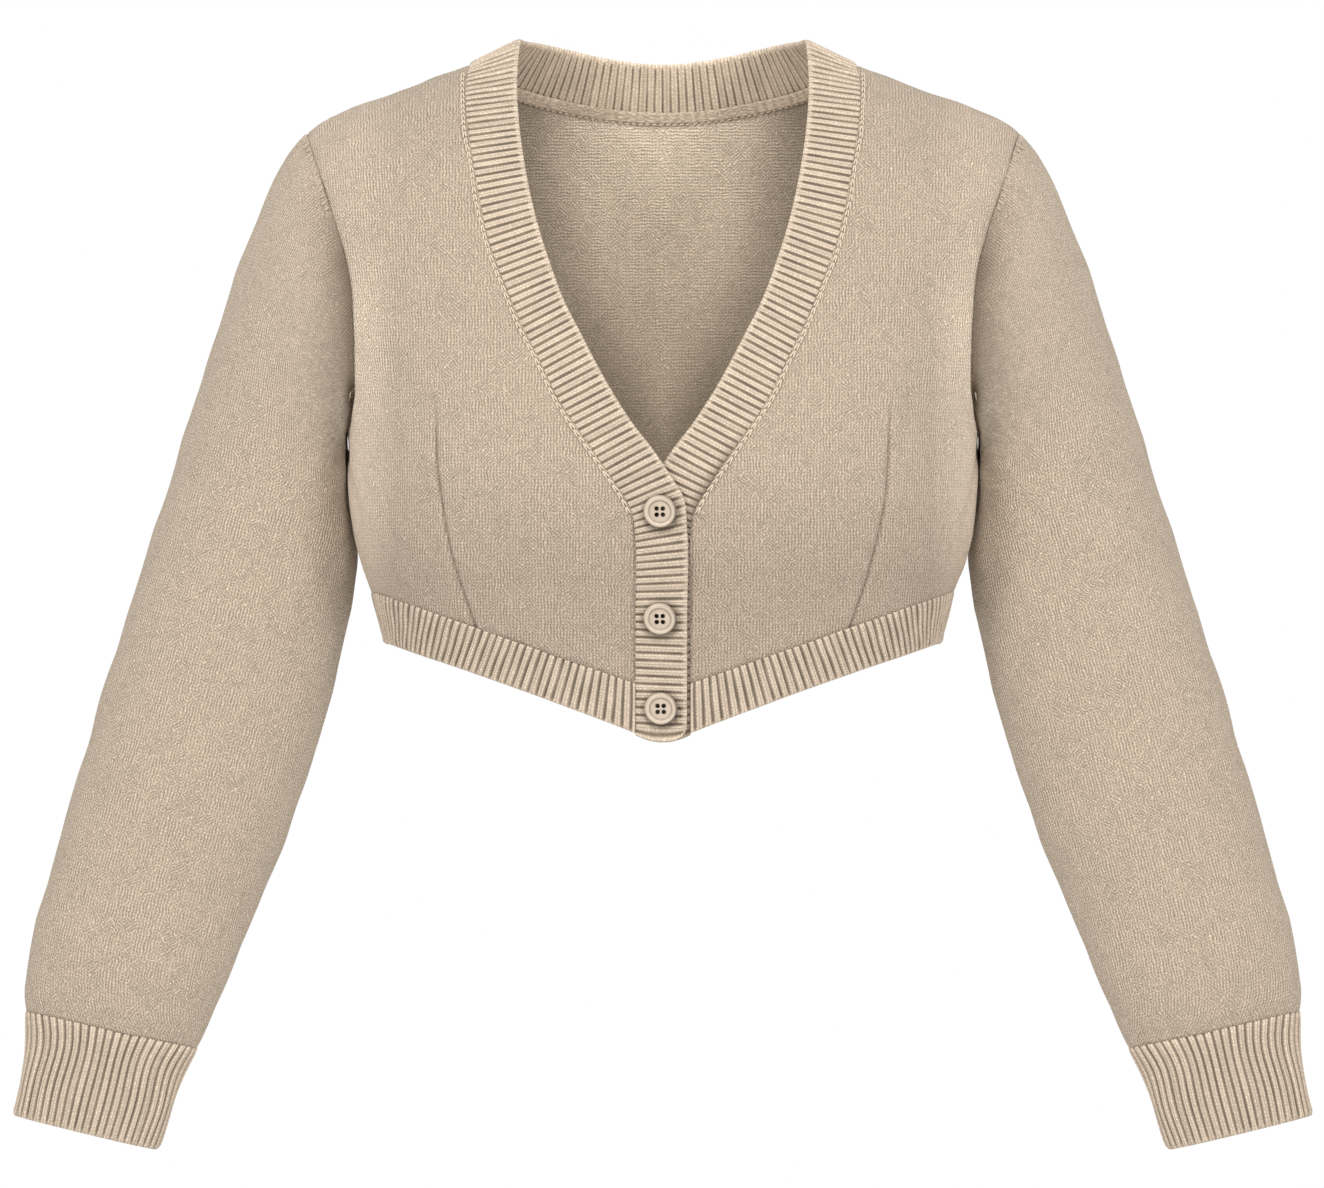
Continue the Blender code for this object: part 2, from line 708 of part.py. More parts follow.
def make_band(name, material):
    """The ribbed band: up the right front, round the neck and down the left front."""
    stations = band_stations()
    along = length_along(band_rows(stations, 0.0).mean(axis=0))
    ribs = rib_count(along[-1])

    def rows_at(columns, out):
        place = columns / (2 * ribs) * along[-1]
        chosen = [np.interp(place, along, column) for column in stations.T]
        return band_rows(np.stack(chosen, axis=-1), out)

    return ribbed_wall(name, rows_at, 2 * ribs, material)


def make_tape(name, material):
    """The knitted tape that covers the seam inside the back neck, along the back's points."""
    front_count = band_edge()[1]
    back = band_stations()
    back = back[(back[:, 4] == LEFT) & (back[:, 0] >= front_count)][::-1]
    seam = back_band_seam()
    spot = np.arange(len(seam)) + front_count
    free = np.stack([np.interp(spot, back[:, 0], back[:, k]) for k in (1, 2)], axis=-1)
    kept = on_face(BACK, seam)[:, 0] <= TAPE_END_X
    seam, free = seam[kept], free[kept]
    below, above = TAPE_ACROSS
    grids = []
    for out in TAPE_FACES:
        lower = on_face(BACK, seam + below * (free - seam), out)
        middle = on_face(BACK, seam, out)
        upper = middle + above * (on_face(BACK, free, out) - middle)
        half = np.stack([lower, middle, upper])
        grids.append(np.concatenate([half * [-1, 1, 1], half[:, -2::-1]], axis=1))
    return plain_wall(name, *grids, material)


# --- Sleeves and cuffs -------------------------------------------------------------------------


def armhole_loop():
    """The armhole's points, from the shoulder down the front to the underarm and up the back."""
    halves = []
    for face in (FRONT, BACK):
        edge = chained(underarm_edge(face)[::-1], armhole_edge(face))
        halves.append(on_face(face, edge))
    return np.concatenate([halves[0][:0:-1], halves[1][:-1]])


def table_rows(table):
    return [dict(zip(table[0], row)) for row in table[1:]]


def oval(row, angles):
    """A sleeve section's points: angle 0 is its outer edge and a right angle its front."""
    outer = np.array([row["outer_x"], 0, row["outer_z"]])
    inner = np.array([row["inner_x"], 0, row["inner_z"]])
    middle = (outer + inner) / 2 + [0, row["behind"], 0]
    across = np.cos(angles)[:, None] * (outer - inner) / 2
    return middle + across - np.sin(angles)[:, None] * [0, row["half_depth"], 0]


def clear_of_body(points):
    """Moves a section's points out of the body's side."""
    y, z = points[:, 1], points[:, 2]
    forward = section("side", z)
    for face, toward in ((FRONT, -1), (BACK, 1)):
        depth = section(face, z) + toward * forward
        reach = np.clip(toward * (y + forward) / depth, 0, 1)
        n = section(face + "_n", z)
        limit = section("half_width", z) * (1 - reach**n) ** (1 / n) + SLEEVE_CLEAR
        held = (toward * (y + forward) >= 0) & (z < ARMHOLE_TURN_Z) & (z > 2 * UNDERARM_Z)
        points[:, 0] = np.where(held, np.maximum(points[:, 0], limit), points[:, 0])
    return points


def normals_of(grid):
    """Outward normals of a tube's points, whose columns go round it."""
    around = np.roll(grid, -1, axis=1) - np.roll(grid, 1, axis=1)
    along = np.gradient(grid, axis=0)
    normals = np.cross(around, along)
    normals /= np.linalg.norm(normals, axis=-1, keepdims=True)
    normals += (np.roll(normals, 1, axis=1) + np.roll(normals, -1, axis=1)) / 2
    normals /= np.linalg.norm(normals, axis=-1, keepdims=True)
    outward = ((grid - grid.mean(axis=1, keepdims=True)) * normals).sum()
    return normals * np.sign(outward)


def sleeve_rings():
    loop = armhole_loop()
    along = length_along(np.concatenate([loop, loop[:1]]))
    middle = len(loop) // 2
    angles = np.where(
        np.arange(len(loop)) <= middle,
        math.pi * along[:-1] / along[middle],
        math.pi * (1 + (along[:-1] - along[middle]) / (along[-1] - along[middle])),
    )
    rows = table_rows(SLEEVE)
    own = loop - oval(rows[0], angles)
    return np.stack([clear_of_body(oval(row, angles) + row["armhole"] * own) for row in rows])


def make_sleeve(name, side, material):
    outer = sleeve_rings()
    outer[..., 0] *= side
    inner = outer - CLOTH * normals_of(outer)
    outer, inner = draw_in(outer, closed=True), draw_in(inner, closed=True)
    run = inner[1] - inner[0]
    inner[0] += SLEEVE_BEVEL * run / np.linalg.norm(run, axis=-1, keepdims=True)
    return plain_wall(name, outer, inner, material, closed=True)


def even_angles(row, count):
    """Angles that divide a sleeve section's outline into even lengths."""
    angles = np.linspace(0, 2 * math.pi, DENSE)
    along = length_along(oval(row, angles))
    return np.interp(np.arange(count) / count * along[-1], along, angles)


def make_cuff(name, side, material):
    columns = 2 * CUFF_RIBS
    rows = table_rows(CUFF)
    angles = even_angles(rows[1], columns)
    base = np.stack([oval(row, angles) for row in rows])
    base[..., 0] *= side
    normals = normals_of(base)

    def rows_at(chosen, out):
        return base[:, chosen] + normals[:, chosen] * out[None, :, None]

    return ribbed_wall(name, rows_at, columns, material, closed=True)


# --- Buttons -----------------------------------------------------------------------------------

# A button's profile, from the middle of its dished face round the rim to the middle of its back.
BUTTON_PROFILE = (
    ("radius", "height"),
    (0.0, 0.62),
    (5.6, 0.66),
    (6.4, 0.90),
    (7.7, 1.00),
    (8.6, 0.90),
    (9.0, 0.62),
    (8.7, 0.30),
    (7.4, 0.0),
    (0.0, 0.0),
)


def add_screw(piece):
    screw = piece.modifiers.new("turn", "SCREW")
    screw.steps = screw.render_steps = BUTTON_STEPS
    screw.use_merge_vertices = True
    screw.merge_threshold = 0.00001
    screw.use_smooth_shade = True


def make_button_mesh(material):
    profile = [
        (radius / 9.0 * BUTTON_RADIUS * MM, 0, height * BUTTON_HEIGHT * MM)
        for radius, height in BUTTON_PROFILE[1:]
    ]
    mesh = bpy.data.meshes.new("button")
    mesh.from_pydata(profile, [(i, i + 1) for i in range(len(profile) - 1)], [])
    mesh.materials.append(material)
    return mesh


def make_hole_cutter():
    """Four pins, joined to one mesh, that cut a button's sewing holes."""
    mesh = bpy.data.meshes.new("button_holes")
    shape = bmesh.new()
    for x in (-1, 1):
        for y in (-1, 1):
            place = Vector((x, y, 0)) * BUTTON_HOLE_SPACING / 2 * MM
            bmesh.ops.create_cone(
                shape,
                cap_ends=True,
                segments=8,
                radius1=BUTTON_HOLE_RADIUS * MM,
                radius2=BUTTON_HOLE_RADIUS * MM,
                depth=4 * BUTTON_HEIGHT * MM,
                matrix=Matrix.Translation(place),
            )
    shape.to_mesh(mesh)
    shape.free()
    return mesh


def over_band(x, z, out=0.0):
    """A point of the band that lies on top in the placket."""
    lift = LAP_LIFT * (PLACKET_X + x) / (PLACKET_X - BAND_FRONT[1][2])
    return Vector(surface(FRONT, x / section("half_width", z), z, out + lift))


def place_on_band(x, z):
    """Where a button sits on the upper band, with its own +Z square to the cloth."""
    across = (over_band(x + 5, z) - over_band(x - 5, z)).normalized()
    square = across.cross(over_band(x, z + 5) - over_band(x, z - 5)).normalized()
    turn = Matrix((across, square.cross(across), square)).transposed()
    seat = over_band(x, z, RIB_CREST + SEAM)
    return Matrix.Translation(seat * MM) @ turn.to_4x4()


def make_buttons(material):
    mesh, holes = make_button_mesh(material), make_hole_cutter()
    for number, (x, z) in enumerate(BUTTON_PLACES, start=1):
        place = place_on_band(x, z)
        cutter = bpy.data.objects.new(f"button_holes_{number}", holes)
        cutters.objects.link(cutter)
        cutter.matrix_world = place
        cutter.hide_render = True
        cutter.display_type = "WIRE"
        button = bpy.data.objects.new(f"button_{number}", mesh)
        garment.objects.link(button)
        button.matrix_world = place
        add_screw(button)
        cut = button.modifiers.new("holes", "BOOLEAN")
        cut.operation = "DIFFERENCE"
        cut.object = cutter


# --- The cardigan ------------------------------------------------------------------------------


def make_material(name, colour, roughness):
    material = bpy.data.materials.new(name)
    material.use_nodes = True
    shader = material.node_tree.nodes["Principled BSDF"]
    shader.inputs["Base Color"].default_value = (*colour, 1)
    shader.inputs["Roughness"].default_value = roughness
    shader.inputs["Metallic"].default_value = 0
    return material


def make_collection(name):
    collection = bpy.data.collections.new(name)
    bpy.context.scene.collection.children.link(collection)
    return collection


for left_over in list(bpy.data.objects):
    bpy.data.objects.remove(left_over)

garment = make_collection("cardigan")
cutters = make_collection("cutters")

knit = make_material("plain_knit", (0.565, 0.465, 0.360), 0.92)
rib = make_material("rib_knit", (0.540, 0.440, 0.338), 0.92)
tape = make_material("neck_tape", (0.600, 0.500, 0.392), 0.92)
horn = make_material("button_horn", (0.665, 0.547, 0.430), 0.35)

make_back("back", knit)
make_band("neck_and_front_band", rib)
make_tape("back_neck_tape", tape)
make_hem("hem_back", BACK, LEFT, rib)
for side, name in ((RIGHT, "right"), (LEFT, "left")):
    make_front(f"front_{name}", side, knit)
    make_hem(f"hem_front_{name}", FRONT, side, rib)
    make_sleeve(f"sleeve_{name}", side, knit)
    make_cuff(f"cuff_{name}", side, rib)
make_buttons(horn)
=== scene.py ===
"""The looks of the cropped cardigan: fine knit shells, ribs, seams, stitches and buttons.

Lengths in tables are millimetres. The body's cloth follows one smooth surface; a place on it is
named by its face, its turn round the section and its height, as in the model's own source.
"""

import math
import bmesh
import bpy
import numpy as np
from mathutils import Matrix, Vector


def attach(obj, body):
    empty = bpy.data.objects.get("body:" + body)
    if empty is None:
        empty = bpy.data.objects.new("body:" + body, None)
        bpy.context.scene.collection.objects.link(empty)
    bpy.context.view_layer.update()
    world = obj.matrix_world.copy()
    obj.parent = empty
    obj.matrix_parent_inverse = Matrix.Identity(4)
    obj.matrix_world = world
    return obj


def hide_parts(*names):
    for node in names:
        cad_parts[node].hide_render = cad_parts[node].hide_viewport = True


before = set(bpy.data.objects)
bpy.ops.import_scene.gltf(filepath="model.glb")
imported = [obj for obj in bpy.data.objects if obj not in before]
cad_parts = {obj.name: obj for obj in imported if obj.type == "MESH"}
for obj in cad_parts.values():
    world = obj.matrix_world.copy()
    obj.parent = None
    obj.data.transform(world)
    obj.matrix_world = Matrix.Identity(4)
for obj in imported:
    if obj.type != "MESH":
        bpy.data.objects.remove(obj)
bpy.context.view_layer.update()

MM = 0.001
CLOTH, SEAM = 2.0, 0.3
RIB_CREST, RIB_PITCH = 0.5, 4.4
ARCH, RIDGE = 70.0, 0.05
SIDE_SEAM_Z, HEM_SIDE_Z, UNDERARM_Z = -290.0, -318.5, -201.0
HEM_SEAM_SLOPE, HEM_SLOPE = 0.348, 0.362
HEM_SEAM_MIDDLE_Z, HEM_MIDDLE_Z = -345.0, -373.0
SHOULDER_X, NECK_X, PLACKET_X = 196.0, 106.0, 15.0
PLACKET_BEND_Z, ARMHOLE_TURN_Z = (-262.0, -226.0), -181.0
LAP_LIFT, LAP_Z, LAP_FADE = 2.9, -222.0, 45.0
DART_LOW, DART_TOP, DART_BOW = (103.0, -308.0), (124.0, -192.0), 6.0
FULLNESS, FULLNESS_AT, FULLNESS_REACH = 4.0, (104.0, -212.0), (55.0, 62.0)
BAND_WIDTH, CUFF_LENGTH, CUFF_RIBS = 28.0, 57.0, 48
END_REACH, END_DIP, CORNER = 7.0, 3.6, 4.0  # how the band's lower end is rounded
HEM_LEAN = 0.078  # how far a front hem's ribs lean out at their free end, as a share of its length
BUTTON_PLACES = ((-1.5, -246.0), (-1.5, -304.0), (-1.0, -353.0))
BUTTON_HOLE_SPACING, BUTTON_HOLE_RADIUS, BUTTON_STEPS, PIN_LENGTH = 3.35, 1.25, 72, 12
TAPE_ACROSS, TAPE_END_X = (-0.11, 0.11), 86.0
TAPE_OUTSIDE, TAPE_INSIDE, TAPE_MIDDLE = -2.5, -3.7, -3.1
TAPE_TURNED_IN = (0.5, 0.1, 0, 0, 0, 0, 0, 0.1, 0.5)  # how far each row's faces draw together
SLEEVE_CLEAR = 1.2
SLEEVE_AXIS = np.array([-0.29, 0.0, 0.957])

# The knit's gauge, how far the shells' edges meet, and the finer grids of the shells
WALE, SLANTING_ROW, BEAD = 1.75, 2.15, 1.9
MEET = 0.1
FINE = 9
PLACKET_ROWS, BEND_ROWS, SIDE_ROWS, ARMHOLE_ROWS = 3 * FINE, 4 * FINE, 6 * FINE, 9 * FINE
UNDERARM_COLUMNS, FRONT_COLUMNS, DART_COLUMN = 3 * FINE, 9 * FINE, 5 * FINE
NECK_COLUMNS, SHOULDER_COLUMNS = 8 * FINE, 5 * FINE
DENSE, CROWDING = 600, 1.3
RIB_STEPS, SLEEVE_STEPS, CUFF_STEPS = 8, 7, 10  # points a rib, and rows for each row of a table
STITCH_RINGS, STITCH_SIDES = 5, 6

FRONT, BACK = "front", "back"
RIGHT, LEFT = -1, 1

BODY = (
    ("z", "half_width", "front", "back", "side", "front_n", "back_n"),
    (-385, 139.5, 83, 78, 4, 2.25, 2.15),
    (-345, 146.0, 91, 79, 5, 2.30, 2.15),
    (-318, 152.0, 98, 80, 6, 2.35, 2.20),
    (-302, 156.5, 103, 82, 7, 2.40, 2.20),
    (-288, 160.5, 107, 83, 8, 2.45, 2.20),
    (-276, 165.0, 111, 85, 9, 2.50, 2.20),
    (-262, 169.0, 115, 87, 10, 2.50, 2.20),
    (-243, 172.0, 119, 90, 11, 2.50, 2.20),
    (-223, 173.0, 121, 93, 11, 2.50, 2.25),
    (-201, 173.5, 119, 96, 10, 2.50, 2.30),
    (-180, 178.0, 115, 98, 8, 2.50, 2.40),
    (-150, 184.0, 108, 99, 6, 2.50, 2.45),
    (-110, 192.0, 97, 97, 4, 2.50, 2.50),
    (-75, 200.0, 84, 90, 2, 2.50, 2.50),
    (-38, 206.0, 67, 78, 0, 2.50, 2.50),
    (0, 207.0, 50, 64, 0, 2.50, 2.50),
    (30, 207.0, 40, 52, 0, 2.50, 2.50),
)
SHOULDER = (
    ("x", "z"),
    (0, 60.0), (30, 53.0), (50, 40.0), (65, 27.0), (78.6, 15.0), (92, 7.0), (106, 0.5),
    (123, -6.0), (145, -14.3), (172, -24.0), (184, -29.5), (196, -38.0), (207, -50.0),
)
ARMHOLE = (
    ("x", "z"),
    (173.5, -201.0), (172.3, -198.5), (170.7, -193.0), (169.3, -183.0), (169.0, -167.0),
    (169.0, -146.0), (170.5, -125.0), (173.5, -109.0), (178.0, -91.0), (183.7, -75.0),
    (188.3, -61.0), (192.4, -49.0), (196.0, -38.0),
)
BAND_FRONT = (
    ("seam_x", "seam_z", "free_x", "free_z"),
    (15.0, -367.5, -12.8, -368.5),
    (15.0, -300.0, -13.0, -300.0),
    (15.0, -262.0, -13.0, -257.0),
    (16.5, -248.5, -11.0, -238.5),
    (21.0, -238.7, -4.5, -227.5),
    (29.0, -226.5, 4.8, -213.5),
    (40.4, -210.0, 17.0, -197.6),
    (56.1, -186.8, 31.8, -174.0),
    (67.4, -163.8, 44.0, -151.0),
    (78.1, -141.9, 54.6, -130.0),
    (86.5, -121.5, 61.5, -111.5),
    (93.5, -103.4, 67.2, -94.0),
    (99.0, -82.0, 72.0, -75.5),
    (103.0, -59.5, 76.0, -55.0),
    (106.8, -36.0, 79.0, -32.5),
    (108.3, -17.0, 80.2, -13.0),
    (107.6, -6.0, 79.8, 1.5),
    (106.0, 0.5, 78.6, 15.0),
)
BAND_BACK = (
    ("seam_x", "seam_z", "free_x", "free_z"),
    (106.0, 0.5, 78.6, 15.0),
    (101.0, -3.0, 76.2, 14.4),
    (93.0, -7.5, 72.0, 13.6),
    (80.0, -13.0, 65.0, 12.0),
    (64.0, -18.0, 53.0, 8.8),
    (46.0, -22.5, 39.0, 5.4),
    (28.0, -25.5, 24.0, 2.7),
    (12.0, -26.8, 10.5, 0.9),
    (0.0, -27.0, 0.0, 0.5),
)
SLEEVE = (
    ("outer_x", "outer_z", "inner_x", "inner_z", "behind", "half_depth", "armhole"),
    (196.0, -38.0, 173.5, -201.0, 2, 61, 1.0),
    (201.5, -43.5, 174.2, -204.5, 1, 61, 0.85),
    (207.5, -51.5, 174.0, -208.5, 1, 60.5, 0.62),
    (217.5, -70.5, 173.0, -213.5, 2, 59, 0.36),
    (230.5, -102.9, 171.6, -219.5, 5, 56, 0.14),
    (244.2, -142.5, 170.2, -227.0, 9, 53, 0.03),
    (256.9, -182.0, 169.4, -237.0, 13, 50, 0.0),
    (269.5, -221.7, 168.9, -253.0, 17, 47, 0.0),
    (282.2, -261.3, 168.0, -276.0, 19, 45, 0.0),
    (294.8, -300.9, 176.0, -319.0, 20, 43, 0.0),
    (307.5, -340.5, 187.6, -364.7, 19, 41.5, 0.0),
    (319.0, -380.0, 201.9, -408.7, 16, 40, 0.0),
    (330.6, -419.7, 217.3, -450.5, 13, 38.5, 0.0),
    (341.6, -459.3, 234.0, -489.0, 9, 36.5, 0.0),
    (348.9, -489.5, 244.6, -514.0, 6, 34.5, 0.0),
    (351.4, -507.0, 250.6, -530.0, 5, 30.5, 0.0),
    (350.3, -520.0, 256.2, -540.8, 4, 24.5, 0.0),
)
CUFF = (
    ("outer_x", "outer_z", "inner_x", "inner_z", "behind", "half_depth"),
    (350.3, -520.0, 256.2, -540.8, 4, 24.5),
    (350.2, -542.5, 266.6, -560.5, 2, 20.0),
    (357.0, -575.9, 277.8, -595.1, 0, 18.0),
)


# --- Small helpers ---


def clamp(values):
    return np.clip(values, 0, 1)


def ridge(distance, width):
    """A soft bump, 1 in its middle and gone beyond a few widths."""
    return np.exp(-((distance / width) ** 2))


def side_by_side(*parts):
    return np.stack(np.broadcast_arrays(*parts), axis=-1)


def unit(vectors):
    return vectors / (np.linalg.norm(vectors, axis=-1, keepdims=True) + 1e-9)


def mirrored(points, side):
    return points * [side, 1, 1]


def chained(*runs):
    return np.concatenate([runs[0]] + [run[1:] for run in runs[1:]])


def length_along(points):
    return np.concatenate([[0], np.cumsum(np.linalg.norm(np.diff(points, axis=0), axis=1))])


def sampled(at, along, rows):
    """The rows' values at places along the line that they lie on."""
    return side_by_side(*(np.interp(at, along, column) for column in rows.T))


def smooth(xs, ys, at):
    at = np.clip(at, xs[0], xs[-1])
    slopes = np.gradient(ys, xs)
    i = np.clip(np.searchsorted(xs, at) - 1, 0, len(xs) - 2)
    step = xs[i + 1] - xs[i]
    t = (at - xs[i]) / step
    return (
        ys[i] * (1 + 2 * t) * (1 - t) ** 2
        + ys[i + 1] * (3 - 2 * t) * t**2
        + step * t * (1 - t) * (slopes[i] * (1 - t) - slopes[i + 1] * t)
    )


def through(points, count=DENSE):
    """Evenly spaced places on a smooth line through points."""
    points = np.array(points, float)
    along = length_along(points)
    at = np.linspace(0, along[-1], count)
    return side_by_side(*(smooth(along, column, at) for column in points.T))


def spots(points, shares):
    """Where along a line's points, counted from 0, shares of its length are."""
    along = length_along(points)
    return np.interp(shares * along[-1], along, np.arange(len(points)))


def columns_of(table):
    return dict(zip(table[0], np.array(table[1:], float).T))


# --- The body's surface ---

SECTIONS = columns_of(BODY)
SHOULDER_LINE = columns_of(SHOULDER)


def section(name, z):
    return smooth(SECTIONS["z"], SECTIONS[name], z)


def shoulder_z(x):
    return smooth(SHOULDER_LINE["x"], SHOULDER_LINE["z"], np.abs(x))


def fullness(x, z):
    across = (np.abs(x) - FULLNESS_AT[0]) / FULLNESS_REACH[0]
    up = (z - FULLNESS_AT[1]) / FULLNESS_REACH[1]
    return FULLNESS * np.exp(-(across**2) - up**2)


def surface(face, share, z, out=0.0):
    """The body's outer face, moved out: share is x over the half width, -1 to 1."""
    share, z, out = np.broadcast_arrays(share, z, out)
    half_width = section("half_width", z)
    x = half_width * share
    z = np.minimum(z, shoulder_z(x))
    below = clamp((shoulder_z(x) - z - RIDGE) / ARCH)
    arch = np.sqrt(1 - (1 - below) ** 2)
    n = section(face + "_n", z)
    forward = section("side", z)
    middle = section(face, z) - (forward if face == FRONT else -forward)
    bulge = fullness(x, z) if face == FRONT else 0.0
    depth = (middle + out) * (1 - np.abs(share) ** n) ** (1 / n) * arch + bulge * arch
    depth *= np.where(np.abs(share) < 1, 1, 0)
    toward = -1 if face == FRONT else 1
    return side_by_side((half_width + out) * share, toward * depth - forward, z + out * (1 - below))


def turn_of(face, x, z):
    share = clamp(np.abs(x) / section("half_width", z))
    return np.arcsin(share ** (section(face + "_n", z) / 2))


def share_of(face, turn, z):
    return np.sin(turn) ** (2 / section(face + "_n", z))


def on_face(face, turns, out=0.0):
    turn, z = turns[..., 0], turns[..., 1]
    return surface(face, np.sign(turn) * share_of(face, np.abs(turn), z), z, out)


def evenly(face, places, count, crowding=1.0):
    """A line on a face as even steps of turn and z, or as closer and closer ones."""
    x, z = places.T
    turn = turn_of(face, x, z)
    along = length_along(surface(face, share_of(face, turn, z), z))
    at = along[-1] * (1 - np.linspace(1, 0, count + 1) ** crowding)
    return sampled(at, along, side_by_side(turn, z))


def patch(bottom, outer, top, inner):
    """The (turn, z) grid between four edges: rows go up, columns go out."""
    u = np.linspace(0, 1, len(bottom))[None, :, None]
    v = np.linspace(0, 1, len(inner))[:, None, None]
    low_corners = (1 - u) * (1 - v) * bottom[0] + u * (1 - v) * bottom[-1]
    corners = low_corners + (1 - u) * v * top[0] + u * v * top[-1]
    between_ends = (1 - v) * bottom[None] + v * top[None]
    return between_ends + (1 - u) * inner[:, None] + u * outer[:, None] - corners


def slanting_z(face, x, middle_z, slope, side_z):
    """A line that slants up to its side height in front and is level behind."""
    return np.minimum(middle_z + slope * np.abs(x), side_z) if face == FRONT else side_z + 0 * x


def hem_seam_z(face, x):
    return slanting_z(face, x, HEM_SEAM_MIDDLE_Z, HEM_SEAM_SLOPE, SIDE_SEAM_Z)


def hem_z(face, x):
    return slanting_z(face, x, HEM_MIDDLE_Z, HEM_SLOPE, HEM_SIDE_Z)


def hem_seam(face, start_x, end_x, columns):
    x = np.linspace(start_x, end_x, DENSE)
    return evenly(face, side_by_side(x, hem_seam_z(face, x)), columns)


SIDE_X = section("half_width", SIDE_SEAM_Z)


def back_hem_seam():
    return hem_seam(BACK, 0, SIDE_X, NECK_COLUMNS + SHOULDER_COLUMNS + UNDERARM_COLUMNS)


def front_hem_seam():
    outer_columns = FRONT_COLUMNS + UNDERARM_COLUMNS - DART_COLUMN
    return chained(
        hem_seam(FRONT, PLACKET_X, DART_LOW[0], DART_COLUMN),
        hem_seam(FRONT, DART_LOW[0], SIDE_X, outer_columns),
    )


def side_seam():
    return side_by_side(math.pi / 2, np.linspace(SIDE_SEAM_Z, UNDERARM_Z, SIDE_ROWS + 1))


def underarm_edge(face):
    places = through(ARMHOLE[1:])
    return evenly(face, places[places[:, 1] <= ARMHOLE_TURN_Z][::-1], UNDERARM_COLUMNS)


def armhole_edge(face):
    places = through(ARMHOLE[1:])
    above = evenly(face, places[places[:, 1] > ARMHOLE_TURN_Z], ARMHOLE_ROWS, CROWDING)
    return chained(underarm_edge(face)[:1], above)


def shoulder_seam(columns):
    x = np.linspace(NECK_X, SHOULDER_X, DENSE)
    return evenly(FRONT, side_by_side(x, shoulder_z(x)), columns)


def band_seam(table, face, count, lowest_z=-math.inf, highest_z=math.inf, crowding=1.0):
    seam = through(np.array(table[1:], float)[:, :2])
    seam = seam[(seam[:, 1] >= lowest_z) & (seam[:, 1] <= highest_z)]
    return evenly(face, seam, count, crowding)


def front_band_seam():
    low, high = PLACKET_BEND_Z
    start_z = hem_seam_z(FRONT, PLACKET_X)
    rows_left = SIDE_ROWS + ARMHOLE_ROWS - PLACKET_ROWS - BEND_ROWS
    return chained(
        np.array([[turn_of(FRONT, PLACKET_X, start_z), start_z]]),
        band_seam(BAND_FRONT, FRONT, PLACKET_ROWS, start_z, low),
        band_seam(BAND_FRONT, FRONT, BEND_ROWS, low, high),
        band_seam(BAND_FRONT, FRONT, rows_left, high, math.inf, CROWDING),
    )


def back_band_seam():
    return band_seam(BAND_BACK, BACK, NECK_COLUMNS)


UV_TURNS, UV_HEIGHTS = np.linspace(0, math.pi / 2, 60), np.linspace(-390, 30, 43)


def cloth_uv(face, turns):
    """How far round the body from its middle, and how far up, a place of the cloth is."""
    turn, z = turns[..., 0], turns[..., 1]
    arcs = []
    for height in UV_HEIGHTS:
        share, n = share_of(face, UV_TURNS, height), section(face + "_n", height)
        depth = section(face, height) * (1 - share**n) ** (1 / n)
        arcs.append(length_along(side_by_side(section("half_width", height) * share, depth)))
    arcs = np.array(arcs)
    last_row, last_column = len(UV_HEIGHTS) - 1, len(UV_TURNS) - 1
    row = np.interp(z, UV_HEIGHTS, np.arange(last_row + 1))
    row = np.nan_to_num(np.clip(row, 0, last_row - 0.001))
    column = np.abs(turn) / (math.pi / 2) * last_column
    column = np.nan_to_num(np.clip(column, 0, last_column - 0.001))
    i, j = row.astype(int), column.astype(int)
    a, b = row - i, column - j
    lower = arcs[i, j] * (1 - b) + arcs[i, j + 1] * b
    upper = arcs[i + 1, j] * (1 - b) + arcs[i + 1, j + 1] * b
    arc = lower * (1 - a) + upper * a
    top = shoulder_z(section("half_width", z) * share_of(face, np.abs(turn), z))
    over = clamp((top - z) / ARCH)
    up = np.where(z < top - ARCH, z, top - ARCH + ARCH * np.arcsin(1 - over))
    return side_by_side(np.sign(turn) * arc, up)


# --- Unevenness of the cloth ---

# Soft waves of the cloth: how far apart along x, y and z, the phase, and the height.
WAVES = (
    ("x", "y", "z", "phase", "height"),
    (71.0, 93.0, 54.0, 0.3, 0.42),
    (-43.0, 58.0, 67.0, 1.9, 0.30),
    (29.0, -37.0, 33.0, 4.1, 0.17),
    (-23.0, 31.0, -19.0, 2.6, 0.10),
    (12.0, 15.0, 11.0, 5.2, 0.05),
)


def unevenness(points):
    """A small, smooth, fixed unevenness at each point."""
    total = 0
    for x, y, z, phase, height in WAVES[1:]:
        waves = (points / [x, y, z]).sum(axis=-1)
        total = total + height * np.sin(2 * math.pi * waves + phase)
    return total


# Soft creases of the body: which face, their two ends as turn in degrees (90 at the side seam)
# and height, their width, and how high they stand.
BODY_FOLDS = (
    ("face", "from_turn", "from_z", "to_turn", "to_z", "wide", "height"),
    (BACK, 78, -196, 34, -150, 9, 1.2),
    (BACK, 74, -214, 30, -188, 11, -1.4),
    (BACK, 70, -232, 26, -226, 12, 1.1),
    (BACK, -77, -198, -38, -158, 10, 1.1),
    (BACK, -73, -218, -28, -196, 11, -1.5),
    (BACK, -70, -238, -22, -240, 13, 1.0),
    (BACK, -12, -262, 22, -286, 14, -0.9),
    (BACK, 14, -120, -20, -132, 15, -0.8),
    (BACK, 60, -258, 46, -286, 9, 0.9),
    (BACK, -58, -254, -48, -288, 9, -0.9),
    (BACK, 68, -70, 42, -96, 12, -0.9),
    (BACK, -66, -72, -44, -102, 12, 0.8),
    (FRONT, 86, -214, 74, -252, 7, -1.1),
    (FRONT, -86, -216, -75, -248, 7, -1.0),
)
